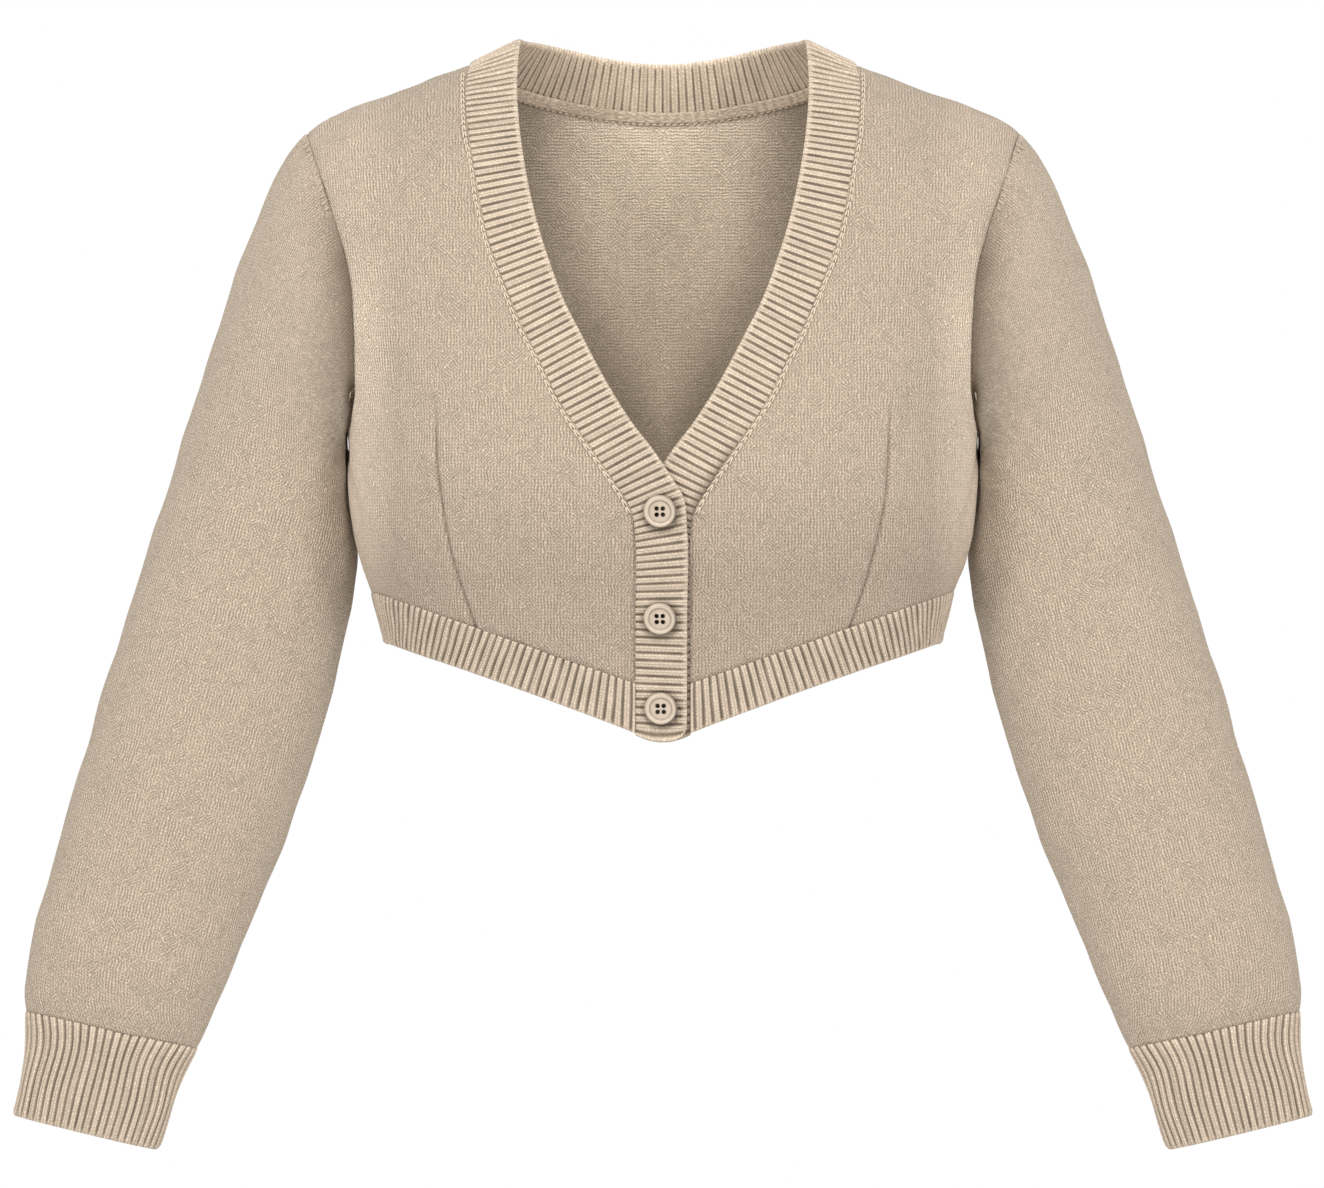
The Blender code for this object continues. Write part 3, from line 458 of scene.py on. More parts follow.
DEGREE, CREASE_HEIGHT = 2.2, 1.6  # millimetres round the body a degree, and the heights' scale


def creases(face, turns, side=1):
    """The body's soft creases as heights at (turn, z) places."""
    turn, z = np.degrees(turns[..., 0]) * side, turns[..., 1]
    total = 0
    for on, turn_0, z_0, turn_1, z_1, wide, height in BODY_FOLDS[1:]:
        if on == face:
            reach = np.array([DEGREE * (turn_1 - turn_0), z_1 - z_0])
            step = side_by_side(DEGREE * (turn - turn_0), z - z_0)
            part = step @ reach / (reach @ reach)
            apart = np.linalg.norm(step - clamp(part)[..., None] * reach, axis=-1)
            swell = 0.35 + 0.65 * clamp(1.3 - np.abs(part - 0.35))
            total = total + CREASE_HEIGHT * height * swell * ridge(apart, wide)
    return total


# --- Meshes ---


def add_object(name, data):
    thing = bpy.data.objects.new(name, data)
    bpy.context.scene.collection.objects.link(thing)
    return thing


def add_shape(name, shape):
    """An object of a bmesh, which it frees."""
    mesh = bpy.data.meshes.new(name)
    shape.to_mesh(mesh)
    shape.free()
    return add_object(name, mesh)


def add_cloth(name, points, faces, materials):
    """A smooth object of points in millimetres."""
    mesh = bpy.data.meshes.new(name)
    mesh.from_pydata((points * MM).tolist(), [], faces)
    mesh.shade_smooth()
    for material in materials:
        mesh.materials.append(material)
    return add_object(name, mesh)


def quads(grid, closed=False):
    rows, columns = grid.shape[:2]
    last = columns if closed else columns - 1
    i, j = np.meshgrid(np.arange(rows - 1), np.arange(last), indexing="ij")
    k = (j + 1) % columns
    corners = (i * columns + j, i * columns + k, (i + 1) * columns + k, (i + 1) * columns + j)
    faces = side_by_side(*corners).reshape(-1, 4)
    real = ~np.isnan(grid[..., 0].reshape(-1))
    return faces[real[faces].all(axis=1)]


def edge_of(faces, total):
    """The directed edges that only one face has."""
    start, end = faces.reshape(-1), np.roll(faces, -1, axis=1).reshape(-1)
    key, back = start * total + end, end * total + start
    alone = ~np.isin(key, back)
    return start[alone], end[alone]


def move_edge(outer, inner, near, start, end):
    """Moves the points on both grids' edges outward, to meet the next piece's."""
    owner = {(face[k], face[(k + 1) % 4]): face for face in near for k in range(4)}
    pulls = {}
    for a, b in zip(start, end):
        along = unit(outer[b] - outer[a])
        inward = outer[owner[(a, b)]].mean(axis=0) - outer[a]
        inward = unit(inward - (inward @ along) * along)
        pulls.setdefault(a, []).append(inward)
        pulls.setdefault(b, []).append(inward)
    for point, both in pulls.items():
        shift = -MEET * sum(both) / (1 + both[0] @ both[-1])
        outer[point] += shift
        inner[point] += shift


def thin(outer, inner, ring, strength):
    """Draws both grids' points in a ring together."""
    middle = (outer[ring] + inner[ring]) / 2
    outer[ring] += strength * (middle - outer[ring])
    inner[ring] += strength * (middle - inner[ring])


def wall(name, outer, inner, uv, materials, closed=False, pinch=0.55, shades=None):
    """A closed wall of cloth between two grids, with the knit's coordinates.

    Its edges just meet the next piece's and are pinched thinner, as a seam pulls cloth in. shades
    are the painted shade and light of the cloth's colour at the points of both grids. A closed
    grid's uv has one column more than its points. A second material is for the inner half.
    """
    faces = quads(outer, closed)
    columns, total = outer.shape[1], outer.shape[0] * outer.shape[1]
    shades = np.ones(2 * total) if shades is None else np.concatenate([x.ravel() for x in shades])
    outer, inner = outer.reshape(-1, 3).copy(), inner.reshape(-1, 3).copy()
    start, end = edge_of(faces, total)
    near = faces[np.isin(faces, start).any(axis=1)]
    move_edge(outer, inner, near, start, end)
    thin(outer, inner, start, pinch)
    thin(outer, inner, np.setdiff1d(near, start), 0.3 * pinch)
    rim = side_by_side(end, start, total + start, total + end)
    every = np.concatenate([faces, total + faces[:, (0, 3, 2, 1)], rim])
    points = np.concatenate([outer, inner])
    a, b, c = (points[every[:, k]] for k in (0, 1, 2))
    if np.einsum("ij,ij->i", a, np.cross(b, c)).sum() < 0:
        every = every[:, ::-1]
    used = np.unique(every)
    renumber = np.zeros(2 * total, int)
    renumber[used] = np.arange(len(used))
    piece = add_cloth(name, points[used], renumber[every].tolist(), materials)
    row, column = every % total // columns, every % total % columns
    around = closed & (column.max(axis=1) == columns - 1) & (column.min(axis=1) == 0)
    column = np.where(around[:, None] & (column == 0), columns, column)
    layer = piece.data.uv_layers.new(name="knit")
    layer.data.foreach_set("uv", uv[row, column].reshape(-1))
    give_shade(piece.data, shades[used])
    index = np.zeros(len(every), int)
    index[len(faces) : 2 * len(faces)] = len(materials) - 1
    piece.data.polygons.foreach_set("material_index", index)
    return piece


def give_shade(mesh, values):
    mesh.attributes.new("shade", "FLOAT", "POINT").data.foreach_set("value", values)


# --- Materials ---


class Value:
    """A number in a material's graph, whose arithmetic adds math nodes."""

    def __init__(self, graph, socket):
        self.graph, self.socket = graph, socket

    def by(self, operation, other=None):
        return self.graph.math(operation, self, other)

    def __add__(self, other):
        return self.by("ADD", other)

    def __sub__(self, other):
        return self.by("SUBTRACT", other)

    def __rsub__(self, other):
        return self.graph.math("SUBTRACT", other, self)

    def __mul__(self, other):
        return self.by("MULTIPLY", other)

    def __truediv__(self, other):
        return self.by("DIVIDE", other)


class Graph:
    """A short way to write a material's nodes."""

    def __init__(self, name):
        self.material = bpy.data.materials.new(name)
        self.material.use_nodes = True
        self.nodes = self.material.node_tree.nodes
        self.shader = self.nodes["Principled BSDF"]
        self.place = self.node("TexCoord").outputs["Object"]

    def put(self, socket, value):
        value = value.socket if isinstance(value, Value) else value
        if isinstance(value, bpy.types.NodeSocket):
            self.material.node_tree.links.new(value, socket)
        elif value is not None:
            socket.default_value = value

    def node(self, kind, settings=(), **inputs):
        node = self.nodes.new("ShaderNode" + kind)
        for key, value in dict(settings).items():
            setattr(node, key, value)
        for key, value in inputs.items():
            self.put(node.inputs[key], value)
        return node

    def math(self, operation, *values):
        node = self.node("Math", {"operation": operation})
        for socket, value in zip(node.inputs, values):
            self.put(socket, value)
        return Value(self, node.outputs[0])

    def noise(self, scale, detail=1, roughness=0.5):
        settings = {"Vector": self.place, "Scale": scale, "Detail": detail, "Roughness": roughness}
        return Value(self, self.node("TexNoise", **settings).outputs["Fac"])

    def shade(self):
        return Value(self, self.node("Attribute", {"attribute_name": "shade"}).outputs["Fac"])

    def mix(self, factor, one, other, clamped=True):
        settings = {"data_type": "RGBA", "clamp_factor": clamped}
        return self.node("Mix", settings, Factor=factor, A=one, B=other).outputs["Result"]

    def bump(self, height, strength, distance):
        inputs = {"Strength": strength, "Distance": distance, "Height": height}
        return self.node("Bump", **inputs).outputs["Normal"]

    def finished(self, **inputs):
        """The material, with these inputs of its shader."""
        for key, value in inputs.items():
            self.put(self.shader.inputs[key.replace("_", " ")], value)
        return self.material


def tint(colour, factor):
    return (*(min(1, c * factor) for c in colour[:3]), 1)


def wave(phase):
    return (phase * (2 * math.pi)).by("SINE") * 0.5 + 0.5


def tent(value):
    """0 in the middle of each whole step of a value, and 1 at its ends."""
    return (value.by("FRACT") - 0.5).by("ABSOLUTE") * 2


def ramp(value, gain):
    """A noise stretched around its middle, from 0 to 1."""
    return (value * gain + (0.5 - 0.5 * gain)).by("MINIMUM", 1).by("MAXIMUM", 0)


def between(part, one, other):
    return one * part + other * (1 - part)


def plain_stitches(g, u, v):
    """Lines of small stitches that wander, upright in some patches and slanting in others."""

    def line(phase, scale, warp):
        return wave(phase + g.noise(scale) * warp)

    def beaded(one, other):
        return one * (other * 0.6 + 0.4)

    across, up = u / SLANTING_ROW, v / SLANTING_ROW
    rise, fall = line(across + up, 350, 2.1), line(across - up, 325, 2.1)
    column, row = line(u / WALE, 285, 1.3), line(v / WALE, 245, 1.3)
    slanting = between(ramp(g.noise(170), 3), beaded(rise, fall), beaded(fall, rise))
    return between(ramp(g.noise(95), 4) * 0.7 + 0.15, beaded(column, row), slanting)


def purl_stitches(g, u, v):
    """The inside of the plain knit, whose lines of loops run across."""
    return plain_stitches(g, v, u)


def rib_stitches(g, u, v):
    """Two rows of small loops up each rib, staggered."""
    from_leg = (tent(u) / 0.8).by("MINIMUM", 1) * 2 - 1
    leg = 1 - from_leg * from_leg
    stagger = (u * 2).by("FLOOR") * 0.37
    bead = wave(v / BEAD + g.noise(300) * 2.6 + stagger)
    return (leg * 0.62 + 0.38) * (bead * 0.42 + 0.58)


def make_knit(name, yarn_colour, stitches, relief, contrast):
    """Heathered knit from the gaps' painted shade to its yarn, scaled by its painted shade and
    light.
    """
    g = Graph(name)
    parts = g.node("SeparateXYZ", Vector=g.node("UVMap", {"uv_map": "knit"}).outputs["UV"])
    height = stitches(g, *(Value(g, parts.outputs[axis]) for axis in "XY"))
    fibre, heather, patchy = g.noise(1500, 2, 0.6), g.noise(330, 3, 0.6), g.noise(24, 3, 0.6)
    tone = height * contrast + (0.72 - 0.42 * contrast)
    for noise, amount in ((fibre, 0.42), (heather, 0.34), (patchy, 0.06)):
        tone = tone + (noise - 0.5) * amount
    tone = tone.by("MINIMUM", 1.2).by("MAXIMUM", 0) * g.shade()
    return g.finished(
        Base_Color=g.mix(tone, (*PAINTED_GAP_SHADE, 1), yarn_colour, clamped=False),
        Normal=g.bump(fibre * 0.35 + height, 1.0, relief),
        Roughness=0.95, Specular_IOR_Level=0.12,
        Sheen_Weight=0.12, Sheen_Roughness=0.55, Sheen_Tint=(1.0, 0.93, 0.84, 1),
    )


def make_horn(name, colour):
    """Moulded button plastic: faint clouds and a soft polish, darkened by its painted shade."""
    g = Graph(name)
    clouds = g.mix(g.noise(160, 4, 0.55), tint(colour, 0.95), tint(colour, 1.06))
    return g.finished(
        Base_Color=g.mix(g.shade(), tint(colour, 0.2), clouds),
        Normal=g.bump(g.noise(700, 3), 0.25, 0.0001),
        Roughness=g.noise(900, 3) * 0.10 + 0.26,
        Specular_IOR_Level=0.5, Coat_Weight=0.15, Coat_Roughness=0.2,
    )


def make_plain(name, colour, roughness):
    g = Graph(name)
    speckled = g.mix(g.noise(900, 3), tint(colour, 0.85), tint(colour, 1.15))
    return g.finished(Base_Color=speckled, Roughness=roughness)


# The first colour is painted shade for the gaps between stitches, the second the yarn's own colour.
PAINTED_GAP_SHADE, YARN = (0.088, 0.062, 0.040), (0.405, 0.330, 0.254)
knit = make_knit("plain_knit", tint(YARN, 1.165), plain_stitches, 0.00055, 1.0)
rib = make_knit("rib_knit", tint(YARN, 1.24), rib_stitches, 0.00055, 0.95)
# The inside ribs and inside knit are the yarn lightened: painted light for the dimmer inside of the
# garment.
rib_inside = make_knit("inside_ribs", tint(YARN, 1.68), rib_stitches, 0.00050, 0.65)
tape_knit = make_knit("tape_knit", tint(YARN, 1.6), plain_stitches, 0.0003, 0.6)
purl = make_knit("inside_knit", (0.895, 0.755, 0.592, 1), purl_stitches, 0.00055, 0.7)
yarn = make_plain("seam_yarn", tint(YARN, 1.28), 0.9)
folds = make_plain("fold_yarn", tint(YARN, 0.92), 0.95)
# The yarn at half its lightness: painted shade for dark dashes in the gathers' creases and the
# placket's seam.
painted_crease_shade = make_plain("painted_crease_shade", tint(YARN, 0.5), 0.95)
horn = make_horn("button_horn", (0.435, 0.353, 0.270))
dark = make_plain("button_hole_shade", (0.012, 0.009, 0.007), 0.8)


def settle(piece, slot, *nodes):
    """A piece that stands for nodes, which it hides, attached to the root; slot is not used."""
    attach(piece, "root")
    if nodes:
        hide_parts(*nodes)
    return piece


# --- Body panels ---


def panel(face, hem, shoulder, inner):
    """A panel's (turn, z) grid: its side ends at the underarm, its inner part at the shoulder."""
    across = len(shoulder) - 1
    under, armhole, side = underarm_edge(face), armhole_edge(face), side_seam()
    part = np.linspace(0, 1, across + 1)[:, None]
    chest = inner[SIDE_ROWS] * (1 - part) + under[0] * part
    grid = np.full((len(inner), len(hem), 2), np.nan)
    grid[: SIDE_ROWS + 1] = patch(hem, side, chained(chest, under), inner[: SIDE_ROWS + 1])
    grid[SIDE_ROWS:, : across + 1] = patch(chest, armhole, shoulder, inner[SIDE_ROWS:])
    return grid


def dart_line(z):
    """The dart's x at a height, and how far up it that is."""
    low, top = np.array(DART_LOW), np.array(DART_TOP)
    rise = (z - low[1]) / (top[1] - low[1])
    kept = clamp(rise)
    return low[0] + (top[0] - low[0]) * kept + DART_BOW * np.sin(math.pi * kept), rise


# Columns of a front at and beside its dart, which take the place of two on each side of it
DART_BESIDE = (-4.2, -2.4, -1.2, -0.5, 0.0, 0.5, 1.2, 2.4, 4.2)
DART_REPLACED = 3


def follow_dart(grid):
    z = grid[:, DART_COLUMN, 1]
    x, _ = dart_line(z)
    above = clamp((z - DART_TOP[1]) / (z[-1] - DART_TOP[1]))
    target = turn_of(FRONT, x, z) * (1 - above) + grid[:, DART_COLUMN, 0] * above
    last = np.where(np.isnan(grid[:, -1, 0]), FRONT_COLUMNS, grid.shape[1] - 1)
    column = np.arange(grid.shape[1])
    reach = np.where(column < DART_COLUMN, DART_COLUMN, last[:, None] - DART_COLUMN)
    nearness = clamp(1 - np.abs(column - DART_COLUMN) / reach)
    grid[:, :, 0] += (target - grid[:, DART_COLUMN, 0])[:, None] * nearness
    beside = []
    for offset in DART_BESIDE:
        far = DART_REPLACED if offset > 0 else -DART_REPLACED
        step = grid[:, DART_COLUMN + far] - grid[:, DART_COLUMN]
        part = abs(offset) / section("half_width", z) / np.abs(step[:, 0])
        beside.append(grid[:, DART_COLUMN] + step * np.minimum(part, 0.93)[:, None])
    before = grid[:, : DART_COLUMN - DART_REPLACED + 1]
    after = grid[:, DART_COLUMN + DART_REPLACED :]
    return np.concatenate([before, np.stack(beside, axis=1), after], axis=1)


# The dart's groove as depths and widths, the lips and small pulls beside it, and the front's swing
DART_GROOVE = ((1.15, 0.75), (0.5, 3.0))
LIP_HEIGHT, LIP_ASIDE, LIP_WIDTH = 0.35, 3.2, 1.8
PULL_HEIGHT, PULL_STEP, PULL_ASIDE, PULL_WIDTH = 0.10, 2.3, 3, 2.2
TIP_HEIGHT, TIP_WIDTH, TIP_RISE = 0.5, 7, 1.12
SWING_HEIGHT, SWING_X, SWING_Z = 0.225, 19.0, 55.0


def front_relief(points, z):
    """What the dart's seam and the cloth's small pulls add to a front's surface."""
    x, rise = dart_line(z)
    from_middle = np.abs(points[..., 0])
    across = from_middle - x
    fade = clamp((1.1 - rise) * 4) * np.where(rise > -0.5, 1, 0)
    groove = sum(depth * ridge(across, width) for depth, width in DART_GROOVE)
    lips = ridge(across - LIP_ASIDE, LIP_WIDTH) + ridge(across + LIP_ASIDE, LIP_WIDTH)
    pulls = PULL_HEIGHT * np.sin(z / PULL_STEP + np.sign(across) * 0.8)
    pulls *= ridge(np.abs(across) - PULL_ASIDE, PULL_WIDTH)
    tip = TIP_HEIGHT * ridge(across, TIP_WIDTH) * ridge((rise - TIP_RISE) * 30, 4)
    swing = SWING_HEIGHT * np.sin((from_middle - 20) / SWING_X + z / SWING_Z)
    above_hem = clamp((z - HEM_SEAM_MIDDLE_Z - HEM_SEAM_SLOPE * from_middle) / 40)
    return fade * (LIP_HEIGHT * lips + pulls - groove) + tip + swing * (1 - above_hem)


def front_grid():
    plain = panel(FRONT, front_hem_seam(), shoulder_seam(FRONT_COLUMNS), front_band_seam())
    return follow_dart(plain)


def both_sides(face, grid, lift, side=1):
    """A panel's outer and inner points."""
    return [mirrored(on_face(face, grid, level), side) for level in (lift, lift - CLOTH)]


# How much painted shade darkens the dart's groove, the low part and the chest, and painted light
# the side
DART_DARK, LOW_DARK, CHEST_DARK, SIDE_LIGHT = 0.36, 0.115, 0.06, 0.7


def make_front(name, side):
    grid = front_grid()
    z = grid[..., 1]
    base = mirrored(on_face(FRONT, grid), side)
    lift = 0.6 * unevenness(base) + front_relief(base, z) + creases(FRONT, grid, side)
    from_middle = np.abs(base[..., 0])
    x, rise = dart_line(z)
    # Painted shade along the dart's groove, low down and on the chest, and painted light beside the
    # sleeve
    sewn = clamp((1.06 - rise) * 5) * ridge(from_middle - x, 0.8)
    painted_side_light = clamp((from_middle - 146) / 22) * (0.25 + 0.75 * clamp((-95 - z) / 50))
    low, chest = clamp((-230 - z) / 50), clamp((z + 75) / 40)
    shade = 1 - DART_DARK * sewn + SIDE_LIGHT * painted_side_light - LOW_DARK * low - CHEST_DARK * chest
    shades = (np.nan_to_num(shade, nan=1), np.ones(z.shape))
    uv = cloth_uv(FRONT, grid) * [side, 1]
    sides = both_sides(FRONT, grid, lift, side)
    return wall(name, *sides, uv, (knit, purl), pinch=0.4, shades=shades)


def make_back(name):
    neck = back_band_seam()[::-1]
    part = np.linspace(1, 0, SIDE_ROWS + ARMHOLE_ROWS + 1)[:, None] ** CROWDING
    middle = neck[0] + (np.array([0, SIDE_SEAM_Z]) - neck[0]) * part
    half = panel(BACK, back_hem_seam(), chained(neck, shoulder_seam(SHOULDER_COLUMNS)), middle)
    grid = np.concatenate([half[:, :0:-1] * [-1, 1], half], axis=1)
    base = on_face(BACK, grid)
    lift = 0.7 * unevenness(base) + creases(BACK, grid)
    band = columns_of(BAND_FRONT)
    opening = np.interp(base[..., 2], band["free_z"], band["free_x"])
    # Painted shade on the back's inside beside the edges of the neck's opening
    painted_shade_behind_band = ridge(np.abs(base[..., 0]) - opening, 26)
    shades = (np.ones(lift.shape), np.nan_to_num(1 - 0.6 * painted_shade_behind_band, nan=1))
    sides = both_sides(BACK, grid, lift)
    return wall(name, *sides, cloth_uv(BACK, grid), (knit, purl), shades=shades)


# --- Ribbed bands ---

# The shares of a rib's length that have points, from the seam, and how far its edges are rolled in
RIB_SHARES = np.array([0, 0.02, *np.linspace(0.06, 0.88, 9), 0.92, 0.95, 0.975, 0.99, 1.0])
RIB_EDGE = np.array([0.4, 0.1, *np.zeros(9), 0, 0, 0.14, 0.45, 0.92])
DOWN = RIB_SHARES[:, None]

# Each face of a rib wall: how far its ribs are shifted, and how its valleys and crests lie
RIB_FACES = ((0.0, -1.15, 0.62), (0.5, -1.45, -2.35))
RIB_MIDDLE = -0.85
# Painted shade: how dark a rib's valleys get, and how light the strip hidden under the lap is
VALLEY_DARK, HIDDEN_SHADE = 0.74, 0.27


def rib_form(columns, offset):
    """Each column's height on its rib, its nearness to a valley, and how its rib differs."""
    count = columns / RIB_STEPS + offset
    number = np.floor(count + 0.5)
    from_valley = 1 - np.abs(2 * (count + 0.5 - number) - 1)
    uneven = np.sin(number * 12.9898) * np.sin(number * 4.1414 + 1.3)
    return 1 - (1 - from_valley) ** 2.4, from_valley, uneven


def ribbed(name, rows_at, columns, length, closed=False, materials=(rib,), valley=0.34,
           plain_from=0.9, tip=0.0, tone=1.0, dim=None):
    """A ribbed wall. rows_at(columns, out) gives its grid at those columns and RIB_SHARES.

    valley is how wide the painted shade in its valleys is, and its ribs run out past the share
    plain_from. tip is how much painted light they start with, tone its lightness, and dim gives its
    outer points painted shadows.
    """
    every = np.arange(columns if closed else columns + 1)
    ribs_left = clamp((plain_from + 0.05 - DOWN) / 0.05)
    grids, shades = [], []
    for offset, low, high in RIB_FACES:
        crest, from_valley, uneven = rib_form(every, offset)
        wobble = 1 + 0.07 * np.sin(DOWN * 9 + uneven * 7) + 0.08 * uneven
        flat = low + (high - low) * 0.72
        level = flat + (low + (high - low) * crest * wobble - flat) * ribs_left
        level = level + RIB_EDGE[:, None] * (RIB_MIDDLE - level)
        grids.append(rows_at(every, level))
        wander = np.sin(DOWN * (5 + 3 * uneven) + 9 * uneven)
        # Painted shade in the valleys, and painted light where the ribs start
        painted_valley_shade = ridge(from_valley, valley * (1 + 0.45 * uneven + 0.2 * wander)) * ribs_left
        painted_tip_light = tip * ridge(DOWN, 0.05) * (1 - painted_valley_shade)
        shades.append(tone * (1 - (VALLEY_DARK + 0.14 * wander) * painted_valley_shade + 0.13 * uneven + painted_tip_light))
    if dim is not None:
        factor, hidden = dim(every, grids[0])
        shades[0] = shades[0] * factor * (1 - hidden) + HIDDEN_SHADE * hidden
    uv = side_by_side(np.arange(columns + 1) / RIB_STEPS + 0.5, DOWN * length)
    return wall(name, *grids, uv, materials, closed, pinch=0, shades=shades)


def rib_columns(length):
    return RIB_STEPS * 2 * max(1, round(length / RIB_PITCH / 2))


def make_hem(name, face, side):
    if face == FRONT:
        seam, lean = front_grid()[0], HEM_LEAN
        first_below = turn_of(FRONT, PLACKET_X, hem_z(FRONT, PLACKET_X))
    else:
        half = back_hem_seam()
        seam, lean = chained(half[::-1] * [-1, 1], half), 0.0
        first_below = seam[0, 0]
    first, last = seam[0, 0], seam[-1, 0]
    points = on_face(face, seam)
    columns = rib_columns(length_along(points)[-1])

    def rows_at(every, out):
        at = every / columns
        at = at + DOWN * lean * 4 * at * (1 - at)
        upper = sampled(spots(points, at), np.arange(len(seam)), seam)
        turn = first_below + (upper[..., 0] - first) * (last - first_below) / (last - first)
        share = share_of(face, np.abs(turn), HEM_SIDE_Z)
        lower = side_by_side(turn, hem_z(face, share * section("half_width", HEM_SIDE_Z)))
        place = upper + DOWN[..., None] * (lower - upper)
        base = on_face(face, place)
        wavy = 0.5 * np.sin(base[..., 0] / 23.0 + 1.1) * DOWN + unevenness(base) * 0.6
        return mirrored(on_face(face, place, out + wavy), side)

    return ribbed(name, rows_at, columns, BAND_WIDTH, valley=0.35, plain_from=0.94, tip=0.12,
                  tone=0.96)


def band_edge():
    """The edge that the band is sewn to, from the placket's foot to the back's middle, and how
    many of its steps are the front's."""
    low_x, low_z = BAND_FRONT[1][:2]
    low = np.array([[turn_of(FRONT, low_x, low_z), low_z]])
    front = np.concatenate([low, front_band_seam()])
    return np.concatenate([front, back_band_seam()[1:]]), len(front) - 1


def band_stations():
    """Rows: the spot on the seam, the free edge's turn and z, the lift and the side."""
    edge, front_count = band_edge()
    halves = []
    for face, table in ((FRONT, BAND_FRONT), (BACK, BAND_BACK)):
        seam_x, seam_z, free_x, free_z = through(table[1:]).T
        along = length_along(on_face(face, side_by_side(turn_of(face, seam_x, seam_z), seam_z)))
        part = edge[: front_count + 1] if face == FRONT else edge[front_count:]
        spot = spots(on_face(face, part), along / along[-1])
        free_turn = np.sign(free_x) * turn_of(face, free_x, free_z)
        fade = clamp((LAP_Z + LAP_FADE - free_z) / LAP_FADE)
        lift = (3 - 2 * fade) * fade**2 * (LAP_LIFT if face == FRONT else 0)
        spot += 0 if face == FRONT else front_count
        halves.append(side_by_side(spot, free_turn, free_z, lift, 1))
    half = chained(*halves)
    return np.concatenate([half * [1, 1, 1, 1, RIGHT], half[::-1] * [1, 1, 1, -1, LEFT]])


def band_grid(stations, shares, out):
    edge, front_count = band_edge()
    spot, free, lift, side = stations[:, 0], stations[:, 1:3], stations[:, 3], stations[:, 4]
    seam = sampled(spot, np.arange(len(edge)), edge)
    part = shares[:, None, None]
    rows = []
    for face in (FRONT, BACK):
        ends = [on_face(face, place) for place in (seam, free)]
        units = [on_face(face, place, 1.0) - end for place, end in zip((seam, free), ends)]
        base, normal = (one * (1 - part) + other * part for one, other in (ends, units))
        rows.append(base + normal * (out + shares[:, None] * lift)[..., None])
    grid = np.where((spot < front_count)[:, None], *rows)
    grid[..., 0] *= np.where(side < 0, RIGHT, LEFT)
    return grid


# How the band dips at the shoulder seams and rises behind the neck, and a button's shadow on it:
# its shift from the button, its ring's radius and width, and how dark it is there and below
SHOULDER_DIP, SHOULDER_DIP_WIDTH, NECK_RISE = 2.3, 6.0, 2.0
SHADOW_X, SHADOW_Z, SHADOW_RADIUS, SHADOW_WIDTH, SHADOW_DARK = 0.9, -1.3, 8.6, 2.0, 0.62
BELOW_RADIUS, BELOW_DARK = 5.0, 0.95


def make_band(name):
    stations = band_stations()
    along = length_along(band_grid(stations, np.array([0.5]), np.zeros((1, len(stations))))[0])
    columns = rib_columns(along[-1])
    from_shoulder = stations[:, 0] - band_edge()[1] + 0.5
    shoulders = along[np.flatnonzero(np.diff(np.sign(from_shoulder)))]

    def rows_at(every, out):
        place = every / columns * along[-1]
        grid = band_grid(sampled(place, along, stations), RIB_SHARES, out)
        grid[..., 1] += unevenness(grid) * 0.5
        for shoulder in shoulders:
            grid[..., 2] -= SHOULDER_DIP * ridge(place - shoulder, SHOULDER_DIP_WIDTH) * DOWN**3
        grid[..., 2] += NECK_RISE * clamp((grid[..., 1] - 20) / 30) * DOWN**2
        near_end = clamp(1 - np.minimum(place, along[-1] - place) / END_REACH) ** 2
        bow = END_DIP * 4 * DOWN * (1 - DOWN) - CORNER * clamp((DOWN - 0.8) / 0.2) ** 2
        grid[..., 2] -= near_end * bow
        return grid

    def dim(every, grid):
        """The shadows of the upper layer and of the buttons."""
        lift, side = sampled(every / columns * along[-1], along, stations[:, 3:]).T
        under = clamp(-lift / LAP_LIFT) * (side > 0)
        hidden = clamp(1.25 * under) * ridge(DOWN, 0.16) ** 2
        factor = 1 - 0.05 * clamp(lift / LAP_LIFT) * np.ones(hidden.shape)
        for x, z in BUTTON_PLACES:
            across, up = grid[..., 0] - x, grid[..., 2] - z
            away = np.hypot(across - SHADOW_X, up - SHADOW_Z)
            shadow = SHADOW_DARK * ridge(away - SHADOW_RADIUS, SHADOW_WIDTH)
            shadow += BELOW_DARK * ridge(np.hypot(across, up), BELOW_RADIUS)
            factor = factor - shadow * (side < 0)
        return np.maximum(factor, 0), hidden

    return ribbed(name, rows_at, columns, BAND_WIDTH, materials=(rib, rib_inside), valley=0.30,
                  dim=dim)


